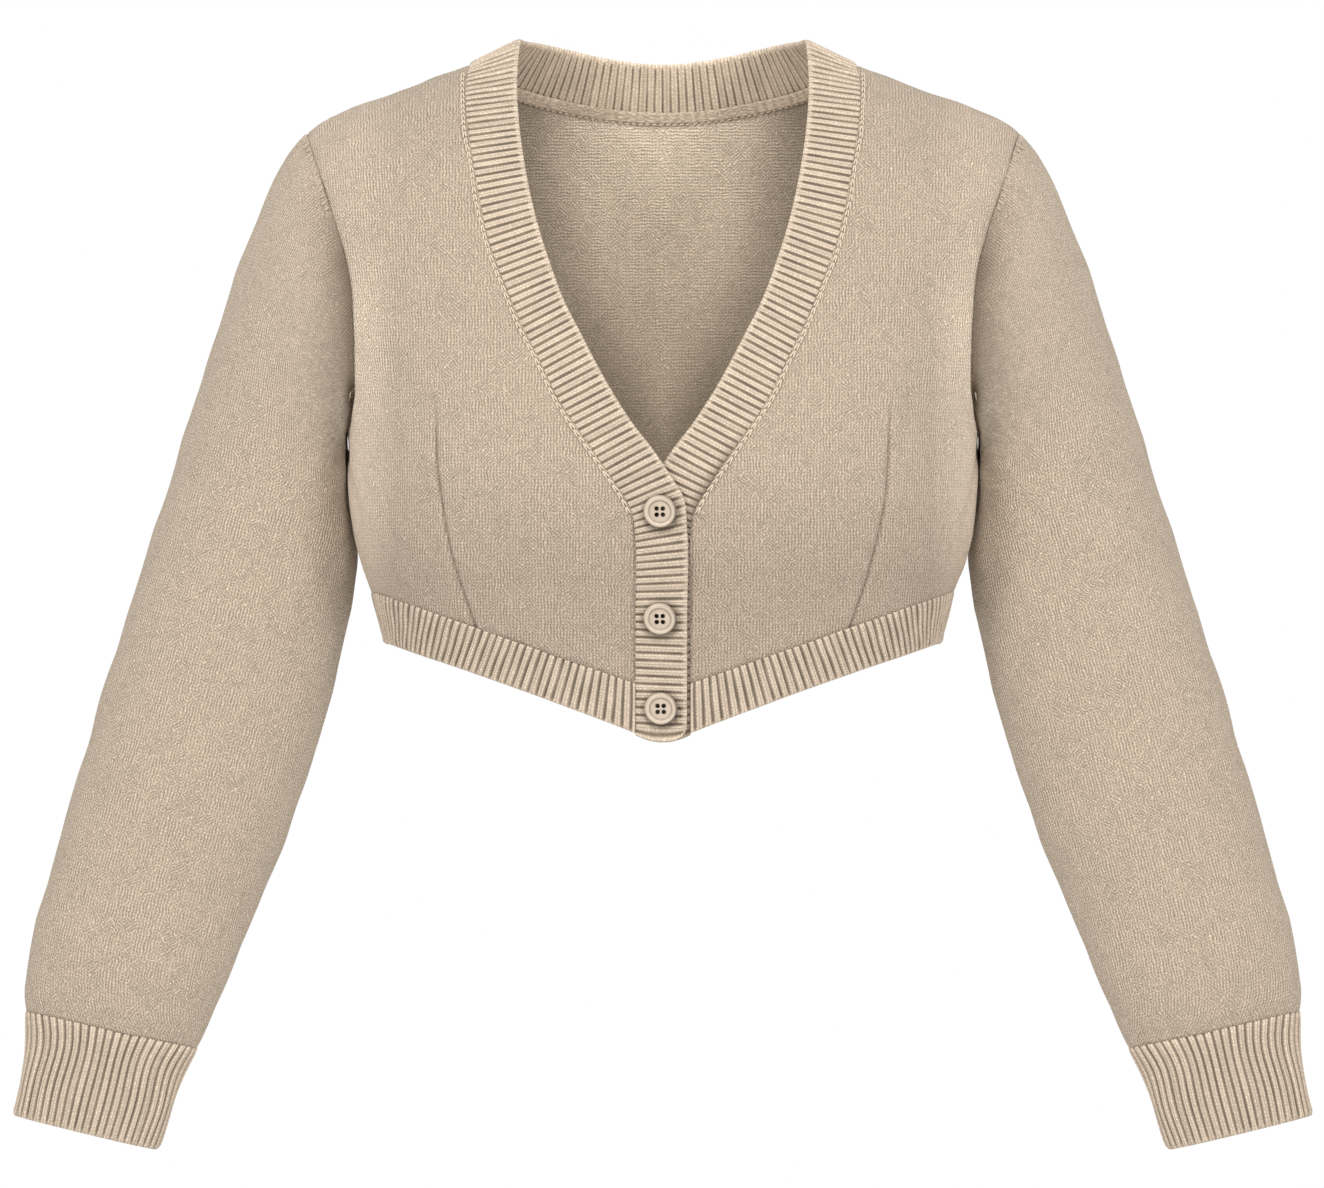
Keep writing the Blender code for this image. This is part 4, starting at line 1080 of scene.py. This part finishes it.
def make_tape(name):
    front_count = band_edge()[1]
    back = band_stations()
    back = back[(back[:, 4] == LEFT) & (back[:, 0] >= front_count)][::-1]
    seam = back_band_seam()
    free = sampled(np.arange(len(seam)) + front_count, back[:, 0], back[:, 1:3])
    kept = on_face(BACK, seam)[:, 0] <= TAPE_END_X
    seam, free = seam[kept], free[kept]
    steps = np.linspace(*TAPE_ACROSS, len(TAPE_TURNED_IN))
    grids = []
    for out in (TAPE_OUTSIDE, TAPE_INSIDE):
        rows = []
        for across, turned_in in zip(steps, TAPE_TURNED_IN):
            level = out + turned_in * (TAPE_MIDDLE - out)
            if across < 0:
                rows.append(on_face(BACK, seam + across * (free - seam), level))
            else:
                base = on_face(BACK, seam, level)
                rows.append(base + across * (on_face(BACK, free, level) - base))
        half = np.stack(rows)
        grids.append(np.concatenate([mirrored(half, RIGHT), half[:, -2::-1]], axis=1))
    along = length_along(grids[0][len(TAPE_TURNED_IN) // 2])
    uv = side_by_side(along / 3.2, np.linspace(0, 6, len(TAPE_TURNED_IN))[:, None])
    return wall(name, *grids, uv, (tape_knit,), pinch=0)


# --- Sleeves and cuffs ---


def armhole_loop():
    front, back = (
        on_face(face, chained(underarm_edge(face)[::-1], armhole_edge(face)))
        for face in (FRONT, BACK)
    )
    return np.concatenate([front[:0:-1], back[:-1]])


def table_rows(table, steps):
    """A table's rows, with rows between them on a smooth curve."""
    spot = np.arange(len(table) - 1, dtype=float)
    at = np.linspace(0, spot[-1], (len(spot) - 1) * steps + 1)
    fine = {name: smooth(spot, values, at) for name, values in columns_of(table).items()}
    return [dict(zip(fine, row)) for row in zip(*fine.values())]


def oval(row, angles):
    outer = np.array([row["outer_x"], 0, row["outer_z"]])
    inner = np.array([row["inner_x"], 0, row["inner_z"]])
    middle = (outer + inner) / 2 + [0, row["behind"], 0]
    across = np.cos(angles)[:, None] * (outer - inner) / 2
    return middle + across - np.sin(angles)[:, None] * [0, row["half_depth"], 0]


def clear_of_body(points):
    y, z = points[:, 1], points[:, 2]
    forward = section("side", z)
    for face, toward in ((FRONT, -1), (BACK, 1)):
        depth = section(face, z) + toward * forward
        reach = clamp(toward * (y + forward) / depth)
        n = section(face + "_n", z)
        limit = section("half_width", z) * (1 - reach**n) ** (1 / n) + SLEEVE_CLEAR
        held = (toward * (y + forward) >= 0) & (z < ARMHOLE_TURN_Z) & (z > 2 * UNDERARM_Z)
        points[:, 0] = np.where(held, np.maximum(points[:, 0], limit), points[:, 0])
    return points


def normals_of(grid):
    around = np.roll(grid, -1, axis=1) - np.roll(grid, 1, axis=1)
    normals = unit(np.cross(around, np.gradient(grid, axis=0)))
    for _ in range(3):
        normals = unit(normals + (np.roll(normals, 1, axis=1) + np.roll(normals, -1, axis=1)) / 2)
    outward = ((grid - grid.mean(axis=1, keepdims=True)) * normals).sum()
    return normals * np.sign(outward)


# Soft folds of a sleeve: where along it (0 at the armhole, 1 at the cuff) and round it (degrees,
# 0 at its outer edge, 90 in front), its reach each way, its slant and its height.
SLEEVE_FOLDS = (
    ("along", "round", "long", "wide", "slant", "height"),
    (0.30, 150, 0.035, 46, 0.9, -1.6),
    (0.36, 128, 0.030, 52, 0.8, 1.2),
    (0.45, 165, 0.030, 40, 0.7, -1.6),
    (0.52, 60, 0.040, 40, -0.5, 0.9),
    (0.60, 120, 0.045, 55, 0.5, -1.1),
    (0.71, 70, 0.050, 45, -0.6, 0.9),
    (0.78, 150, 0.040, 40, 0.6, -1.2),
    (0.90, 60, 0.022, 50, 0.2, 1.2),
    (0.90, 140, 0.022, 40, -0.3, 1.1),
    (0.955, 95, 0.016, 60, 0.1, -0.9),
    (0.33, 215, 0.035, 46, -0.9, -2.0),
    (0.41, 240, 0.030, 50, -0.8, 1.2),
    (0.56, 285, 0.045, 50, 0.5, -1.2),
    (0.66, 230, 0.045, 50, -0.5, 1.0),
    (0.82, 290, 0.040, 45, 0.4, -1.0),
    (0.91, 250, 0.022, 50, -0.2, 1.1),
)

# Puckers where the sleeve's head is eased into the armhole: how far from the shoulder point
# (as a share of the loop), how long in millimetres, and how high.
PUCKERS = (
    ("at", "long", "height"),
    (0.012, 9, 0.5), (0.026, 12, 0.6), (0.041, 9, 0.45), (0.056, 13, 0.65), (0.072, 10, 0.55),
    (0.088, 13, 0.6), (0.104, 9, 0.5), (0.121, 12, 0.55), (0.139, 9, 0.45), (0.158, 10, 0.4),
    (0.180, 8, 0.35), (0.205, 8, 0.3),
)
PUCKER_WIDTH, PUCKER_FROM_SEAM = 1.5, 3.5


def from_armhole(grid):
    """How far down the sleeve each point of its grid is."""
    steps = np.linalg.norm(np.diff(grid, axis=0, prepend=grid[:1]), axis=-1)
    return np.cumsum(steps, axis=0)


def sleeve_relief(grid, angles):
    """Folds and puckers of a sleeve, as heights over its plain form."""
    outer_line = length_along((grid[:, 0] + grid[:, grid.shape[1] // 4]) / 2)
    along = (outer_line / outer_line[-1])[:, None]
    total = unevenness(grid) * 0.7
    for at, about, long, wide, slant, height in SLEEVE_FOLDS[1:]:
        turn = (np.degrees(angles) - about + 180) % 360 - 180
        offset = along - at - slant * turn / 360 * 0.16
        total = total + 0.65 * height * ridge(offset, long) * ridge(turn, wide)
    around = length_along(np.concatenate([grid[0], grid[0, :1]]))
    share = around[:-1] / around[-1]
    for at, long, height in PUCKERS[1:]:
        for mark in (at, 1 - at * 0.93):
            apart = (share - mark + 0.5) % 1 - 0.5
            reach = ridge(from_armhole(grid) - PUCKER_FROM_SEAM, long)
            total = total + height * ridge(apart * around[-1], PUCKER_WIDTH) * reach
    return total


def sleeve_rings():
    """A sleeve's plain grid, which goes from the armhole's own line to ovals, and its angles."""
    loop = armhole_loop()
    along = length_along(np.concatenate([loop, loop[:1]]))
    middle = len(loop) // 2
    angles = np.where(
        np.arange(len(loop)) <= middle,
        math.pi * along[:-1] / along[middle],
        math.pi * (1 + (along[:-1] - along[middle]) / (along[-1] - along[middle])),
    )
    rows = table_rows(SLEEVE, SLEEVE_STEPS)
    own = loop - oval(rows[0], angles)
    rings = [clear_of_body(oval(row, angles) + max(row["armhole"], 0) * own) for row in rows]
    return np.stack(rings), angles


# Spots of painted shade and light on a sleeve: their middle's x, how wide, their middle's z and how
# high
BESIDE_CHEST, BESIDE_WAIST, UNDER_ARM = (181, 9, -162, 30), (175, 3.5, -232, 36), (171, 4, -183, 9)
# How strong: painted shade by the chest and underarm; painted light by the waist, upper part, inner
# side
CHEST_PAINTED_SHADE, WAIST_LIGHT, UNDER_ARM_DARK = 0.2, 0.6, 0.5
UPPER_LIGHT, INSIDE_ARM_LIGHT = 0.13, 0.33


def spot_on(points, spot):
    middle_x, wide, middle_z, high = spot
    return ridge(points[..., 0] - middle_x, wide) * ridge(points[..., 2] - middle_z, high)


def sleeve_shades(grid, angles):
    """Painted shade where the sleeve lies close by the body, painted light on its upper and inner
    parts.
    """
    in_front = np.sin(angles) > 0
    from_seam = from_armhole(grid)
    along = from_seam[:, :1] / from_seam[-1, 0]
    low = clamp((-60 - grid[0, :, 2]) / 50) * in_front
    # Painted shade where the sleeve lies close by the body, lower down in front
    painted_tucked_shade = low * (0.3 * ridge(from_seam, 8) + 0.5 * ridge(from_seam, 19))
    painted_tucked_shade += CHEST_PAINTED_SHADE * in_front * spot_on(grid, BESIDE_CHEST)
    painted_tucked_shade -= WAIST_LIGHT * spot_on(grid, BESIDE_WAIST)
    painted_inside_arm_light = ridge(np.degrees(angles) - 160, 40) * ridge(along - 0.36, 0.16)
    painted_upper_light = clamp(along / 0.06) * clamp(1 - along / 0.75)
    underarm = UNDER_ARM_DARK * spot_on(grid, UNDER_ARM)
    outside = 1.01 + UPPER_LIGHT * painted_upper_light - painted_tucked_shade + INSIDE_ARM_LIGHT * painted_inside_arm_light - underarm
    return outside, 1 - underarm


def make_sleeve(name, side):
    grid, angles = sleeve_rings()
    normals = normals_of(grid)
    row = np.arange(len(grid))[:, None]
    relief = sleeve_relief(grid, angles) * clamp(row / 4)
    outer = grid + normals * relief[..., None]
    inner = outer - np.clip(0.9 + 0.28 * row, 0, CLOTH)[..., None] * normals
    round_it = np.concatenate([grid, grid[:, :1]], axis=1)
    across = np.linalg.norm(np.diff(round_it, axis=1), axis=-1)
    arc = np.concatenate([0 * across[:, :1], np.cumsum(across, axis=1)], axis=1)
    uv = side_by_side(arc, round_it @ SLEEVE_AXIS)
    return wall(name, mirrored(outer, side), mirrored(inner, side), uv, (knit, purl), closed=True,
                pinch=0.2, shades=sleeve_shades(grid, angles))


# Short folds, and beads of painted shade in the creases between them, where the sleeve's head is
# eased in
GATHERS = (("kind", "highest_z", "out"), ("folds", -38.0, 0.0), ("creases", -42.0, 0.12))
GATHERS_LOWEST_Z, GATHERS_ROW, GATHERS_SLANT = -86, 2, 1.1


def gathers(name, side):
    grid, angles = sleeve_rings()
    row, normals = grid[GATHERS_ROW], normals_of(grid)[GATHERS_ROW]
    for kind, highest_z, out in GATHERS[1:]:
        near = (row[:, 2] > GATHERS_LOWEST_Z) & (row[:, 2] <= highest_z) & (np.sin(angles) >= 0)
        path = mirrored(row[near] + out * normals[near], side)
        up = mirrored(normals[near], side)
        stitches(f"{name}_{kind}", kind, path, up, GATHERS_SLANT * side)


def even_angles(row, count):
    """Angles that divide a sleeve section's outline into even lengths."""
    angles = np.linspace(0, 2 * math.pi, DENSE)
    along = length_along(oval(row, angles))
    return np.interp(np.arange(count) / count * along[-1], along, angles)


CUFF_SWELL, CUFF_BOW, CUFF_DROP = 0.45, 4.0, 1.6


def make_cuff(name, side):
    columns = RIB_STEPS * CUFF_RIBS
    rows = table_rows(CUFF, CUFF_STEPS)
    angles = even_angles(rows[CUFF_STEPS], columns)
    base = np.stack([oval(row, angles) for row in rows])
    at = length_along(base[:, columns // 4])
    places, normals = (
        np.stack([sampled(RIB_SHARES, at / at[-1], source[:, c]) for c in range(columns)], axis=1)
        for source in (base, normals_of(base))
    )

    def rows_at(every, out):
        swell = CUFF_SWELL * np.sin(math.pi * clamp(DOWN * 1.1))
        grid = places + normals * (out + swell + unevenness(places) * 0.8 * DOWN)[..., None]
        bow = np.sin(2 * math.pi * DOWN) * (1 - DOWN)
        grid[..., 0] += CUFF_BOW * bow * -np.cos(angles) * np.abs(np.sin(angles))
        grid[..., 2] -= CUFF_DROP * DOWN
        return mirrored(grid, side)

    return ribbed(name, rows_at, columns, CUFF_LENGTH, closed=True, valley=0.23, plain_from=0.95,
                  tip=0.2, tone=0.86)


# --- Sewing ---


# Kinds of sewing: from stitch to stitch, each stitch's length, width and height, how far the
# stitches vary, and their material; the placket's stitches and the creases' beads are painted
# shade.
STITCHES = {
    "band": (4.6, 6.2, 0.95, 0.9, 0.1, yarn),
    "placket": (3.1, 2.0, 0.8, 0.5, 0.5, painted_crease_shade),
    "tape": (3.8, 4.2, 1.3, 1.4, 0.1, yarn),
    "folds": (4.4, 5.0, 1.6, 1.1, 0.45, folds),
    "creases": (4.4, 4.2, 0.6, 0.4, 0.45, painted_crease_shade),
}
BAND_SLANT, PLACKET_SLANT, TAPE_SLANT = 0.13, -0.9, 0.25
BAND_ROWS_ASIDE = (0.9, 2.0)


def stitches(name, kind, path, normal, slant):
    """A line of sewing: one small rounded bead for each stitch along a path."""
    step, length, width, height, uneven, material = STITCHES[kind]
    along = length_along(path)
    count = int(along[-1] / step)
    at = (np.arange(count) + 0.5) * step
    centre, up = sampled(at, along, path), unit(sampled(at, along, normal))
    ahead = unit(np.gradient(centre, axis=0))
    vary = uneven * np.sin(2.4 * np.arange(count) ** 1.1)[:, None]
    turned = np.cos(slant + 0.4 * vary) * ahead + np.sin(slant + 0.4 * vary) * np.cross(up, ahead)
    half = length / 2 * (1 + vary)
    shares = np.linspace(-1, 1, STITCH_RINGS + 2)[1:-1, None]
    turns = np.linspace(0, 2 * math.pi, STITCH_SIDES, endpoint=False)
    girth = np.sqrt(1 - 0.9 * shares**2) / 2
    bead = side_by_side(shares, girth * np.cos(turns) * width, girth * np.sin(turns) * height)
    axes = np.stack([half * turned, np.cross(up, turned), up], axis=1)
    points = centre[:, None] + bead.reshape(-1, 3) @ axes
    size = STITCH_RINGS * STITCH_SIDES
    faces = quads(bead, closed=True).tolist()
    faces += [list(range(STITCH_SIDES))[::-1], list(range(size - STITCH_SIDES, size))]
    every = [[corner + k * size for corner in face] for k in range(count) for face in faces]
    return settle(add_cloth(name, points.reshape(-1, 3), every, (material,)), "plain_knit")


def seam_line(side, aside, out, low, high):
    """A line on a front beside its band's seam, between two heights, and its normals."""
    turn, z = front_band_seam().T
    places = through(side_by_side(section("half_width", z) * share_of(FRONT, turn, z), z), 500)
    step = unit(np.gradient(places, axis=0))
    places = (places + aside * side_by_side(step[:, 1], -step[:, 0]))[3:-8]
    x, z = places[(places[:, 1] > low) & (places[:, 1] < high)].T
    turns = side_by_side(turn_of(FRONT, x, z), z)
    loose = unevenness(mirrored(on_face(FRONT, turns), side))
    points, lifted = (mirrored(on_face(FRONT, turns, out + loose + up), side) for up in (0, 1))
    return points, lifted - points


def tape_line(across, out):
    """A line along the back neck tape and its normals."""
    seam = back_band_seam()
    places = seam[on_face(BACK, seam)[:, 0] <= TAPE_END_X - 1] - [0, across]
    halves = [on_face(BACK, places, level) for level in (out, out - 1)]
    points, lifted = (np.concatenate([mirrored(half, RIGHT), half[-2::-1]]) for half in halves)
    return points, lifted - points


# --- Buttons ---

BUTTON_PROFILE = (
    ("radius", "height"),
    (0.0, 1.90), (2.9, 1.92), (3.6, 1.90), (4.6, 1.84), (5.3, 1.78), (5.7, 1.80), (5.95, 1.95),
    (6.2, 2.3), (6.45, 2.68), (6.8, 2.95), (7.3, 3.10), (7.8, 3.08), (8.25, 2.90), (8.6, 2.56),
    (8.85, 2.15), (8.97, 1.7), (8.95, 1.2), (8.7, 0.62),
    (8.2, 0.2), (7.4, 0.0), (0.0, 0.0),
)


def over_band(x, z, out=0.0):
    lift = LAP_LIFT * (PLACKET_X + x) / (PLACKET_X - BAND_FRONT[1][2])
    return Vector(surface(FRONT, x / section("half_width", z), z, out + lift))


def place_on_band(x, z):
    across = (over_band(x + 5, z) - over_band(x - 5, z)).normalized()
    square = across.cross(over_band(x, z + 5) - over_band(x, z - 5)).normalized()
    turn = Matrix((across, square.cross(across), square)).transposed()
    seat = over_band(x, z, RIB_CREST + SEAM)
    return Matrix.Translation(seat * MM) @ turn.to_4x4()


def turned_profile():
    shape = bmesh.new()
    rings = []
    for radius, height in BUTTON_PROFILE[1:]:
        ring = []
        for k in range(BUTTON_STEPS if radius else 1):
            a = 2 * math.pi * k / BUTTON_STEPS
            place = (radius * MM * math.cos(a), radius * MM * math.sin(a), height * MM)
            ring.append(shape.verts.new(place))
        rings.append(ring)
    for one, other in zip(rings, rings[1:]):
        for k in range(BUTTON_STEPS):
            near, far = [[ring[m % len(ring)] for ring in (one, other)] for m in (k, k + 1)]
            shape.faces.new(list(dict.fromkeys([*near, *far[::-1]])))
    bmesh.ops.recalc_face_normals(shape, faces=shape.faces)
    return shape


def hole_pins():
    pins = bmesh.new()
    for x in (-1, 1):
        for y in (-1, 1):
            bmesh.ops.create_cone(
                pins, cap_ends=True, segments=24, radius1=BUTTON_HOLE_RADIUS * MM,
                radius2=BUTTON_HOLE_RADIUS * MM, depth=PIN_LENGTH * MM,
                matrix=Matrix.Translation(Vector((x, y, 0)) * BUTTON_HOLE_SPACING / 2 * MM),
            )
    return pins


# Where a button's painted shade lies: its dish's radius, its groove's radius and width, its edge's
# start
DISH_RADIUS, GROOVE_RADIUS, GROOVE_WIDTH, EDGE_RADIUS = 5.9, 5.95, 0.4, 8.0


def button_shade(x, y):
    """Painted shade and light: darker in the dish, most on its left, in its groove, round the holes
    and at the lower right edge, with the rim lighter on its left.
    """
    radius = np.hypot(x, y)
    from_holes = np.hypot(*(np.abs(place) - BUTTON_HOLE_SPACING / 2 for place in (x, y)))
    groove = 0.55 * ridge(radius - GROOVE_RADIUS, GROOVE_WIDTH)
    lower_right = (0.6 * x - 0.8 * y) / np.maximum(radius, 1)
    at_edge = clamp((radius - EDGE_RADIUS + 0.3 * (1 - lower_right)) / 0.6)
    edge = (0.55 + 0.4 * lower_right) * at_edge
    dish = np.where(radius < DISH_RADIUS, 0.09 - 0.01 * x, 0.00625 * x)
    return 1 - dish - groove - edge - 0.3 * ridge(from_holes - BUTTON_HOLE_RADIUS, 0.25)


def make_button(number, x, z):
    name = f"button_{number}_fine"
    button, pins = add_shape(name, turned_profile()), add_shape("pins", hole_pins())
    pins.data.materials.append(dark)
    button.data.materials.append(horn)
    button.data.materials.append(dark)
    cut = button.modifiers.new("holes", "BOOLEAN")
    cut.operation, cut.object, cut.solver = "DIFFERENCE", pins, "EXACT"
    cut.material_mode = "TRANSFER"
    depsgraph = bpy.context.evaluated_depsgraph_get()
    done = bpy.data.meshes.new_from_object(button.evaluated_get(depsgraph))
    button.modifiers.clear()
    button.data = done
    bpy.data.objects.remove(pins)
    places = np.array([vertex.co for vertex in done.vertices]) / MM
    give_shade(done, button_shade(places[:, 0], places[:, 1]))
    done.transform(place_on_band(x, z))
    done.shade_smooth()
    done.set_sharp_from_angle(angle=math.radians(40))
    done.name = name
    return settle(button, "button_horn", f"button_{number}")


# --- Building ---

SIDES = ((RIGHT, "right"), (LEFT, "left"))

# Each cloth piece, or pair with the side's word in its names: how it is made, its slot, the node
# that it stands for, and its cut's width and length in metres and area in square metres. A tube's
# width goes all round it.
PIECES = (
    ("name", "make", "arguments", "slot", "node", "width", "length", "area"),
    ("back_knit", make_back, (), "plain_knit", "back", 0.442, 0.331, 0.117),
    ("front_{side}_knit", make_front, (), "plain_knit", "front_{side}", 0.228, 0.380, 0.0445),
    ("sleeve_{side}_knit", make_sleeve, (), "plain_knit", "sleeve_{side}", 0.446, 0.506, 0.132),
    ("cuff_{side}_ribs", make_cuff, (), "rib_knit", "cuff_{side}", 0.202, 0.057, 0.0115),
    ("hem_back_ribs", make_hem, (BACK, LEFT), "rib_knit", "hem_back", 0.405, 0.028, 0.0113),
    ("hem_front_{side}_ribs", make_hem, (FRONT,), "rib_knit", "hem_front_{side}",
     0.202, 0.028, 0.00565),
    ("neck_band_ribs", make_band, (), "rib_knit", "neck_and_front_band", 1.153, 0.028, 0.0322),
    ("neck_tape_knit", make_tape, (), "neck_tape", "back_neck_tape", 0.187, 0.010, 0.00187),
)


def make_cloth(name, make, arguments, slot, node, width, length, area):
    piece = settle(make(name, *arguments), slot, node)


for name, make, arguments, slot, node, *cut in PIECES[1:]:
    if "{side}" in name:
        for side, word in SIDES:
            names = (name.format(side=word), node.format(side=word))
            make_cloth(names[0], make, (*arguments, side), slot, names[1], *cut)
    else:
        make_cloth(name, make, arguments, slot, node, *cut)
for number, (x, z) in enumerate(BUTTON_PLACES, start=1):
    make_button(number, x, z)
for side, word in SIDES:
    for line, aside in enumerate(BAND_ROWS_ASIDE, start=1):
        path, normal = seam_line(side, aside, 0.45, PLACKET_BEND_Z[0] + 14, math.inf)
        slant = BAND_SLANT * side * (-1) ** line
        stitches(f"band_stitches_{word}_{line}", "band", path, normal, slant)
    gathers(f"armhole_gathers_{word}", side)
path, normal = seam_line(RIGHT, 1.0, 0.2, -math.inf, PLACKET_BEND_Z[0] + 12)
stitches("placket_stitches", "placket", path, normal, PLACKET_SLANT)
path, normal = tape_line(3.5, -2.9)
stitches("tape_stitches", "tape", path, normal, TAPE_SLANT)

# --- Floor, light and camera ---

FLOOR_RADIUS, FLOOR_Z = 0.9, -0.74
VIEW_WIDTH, VIEW_DISTANCE, VIEW_X, VIEW_Z = 0.7282, 8.0, -0.0005, -0.29095
SENSOR = 36
LIGHTS = (
    ("name", "place", "target", "size", "power"),
    ("left_light", (-1.9, -3.0, 1.0), (0, 0, -0.3), 1.2, 52),
    ("right_light", (1.9, -3.0, 0.9), (0, 0, -0.3), 1.2, 49),
    ("top_light", (0.0, -2.5, 2.1), (0, 0, -0.2), 0.9, 40),
)


def make_floor():
    shape = bmesh.new()
    bmesh.ops.create_circle(shape, cap_ends=True, segments=96, radius=FLOOR_RADIUS)
    floor = add_shape("floor", shape)
    floor.location = (0, 0, FLOOR_Z)
    pale = Graph("pale_floor").finished(Base_Color=(0.92, 0.92, 0.92, 1), Roughness=0.9)
    floor.data.materials.append(pale)


def make_light(name, place, target, size, power):
    light = bpy.data.lights.new(name, "AREA")
    light.shape, light.size, light.energy = "DISK", size, power
    lamp = add_object(name, light)
    lamp.location = place
    lamp.visible_camera = False
    lamp.rotation_euler = (Vector(target) - Vector(place)).to_track_quat("-Z", "Y").to_euler()


def make_camera():
    data = bpy.data.cameras.new("camera")
    data.sensor_width, data.clip_end = SENSOR, 100
    data.lens = SENSOR * VIEW_DISTANCE / VIEW_WIDTH
    camera = add_object("camera", data)
    camera.location = (VIEW_X, -VIEW_DISTANCE, VIEW_Z)
    camera.rotation_euler = (math.radians(90), 0, 0)
    return camera


make_floor()
for light in LIGHTS[1:]:
    make_light(*light)
scene = bpy.context.scene
scene.world = bpy.data.worlds.new("studio")
scene.world.use_nodes = True
background = scene.world.node_tree.nodes["Background"]
background.inputs["Color"].default_value = (1, 1, 1, 1)
background.inputs["Strength"].default_value = 1.0
scene.camera = make_camera()
scene.view_settings.view_transform = "Standard"
scene.view_settings.look = "None"
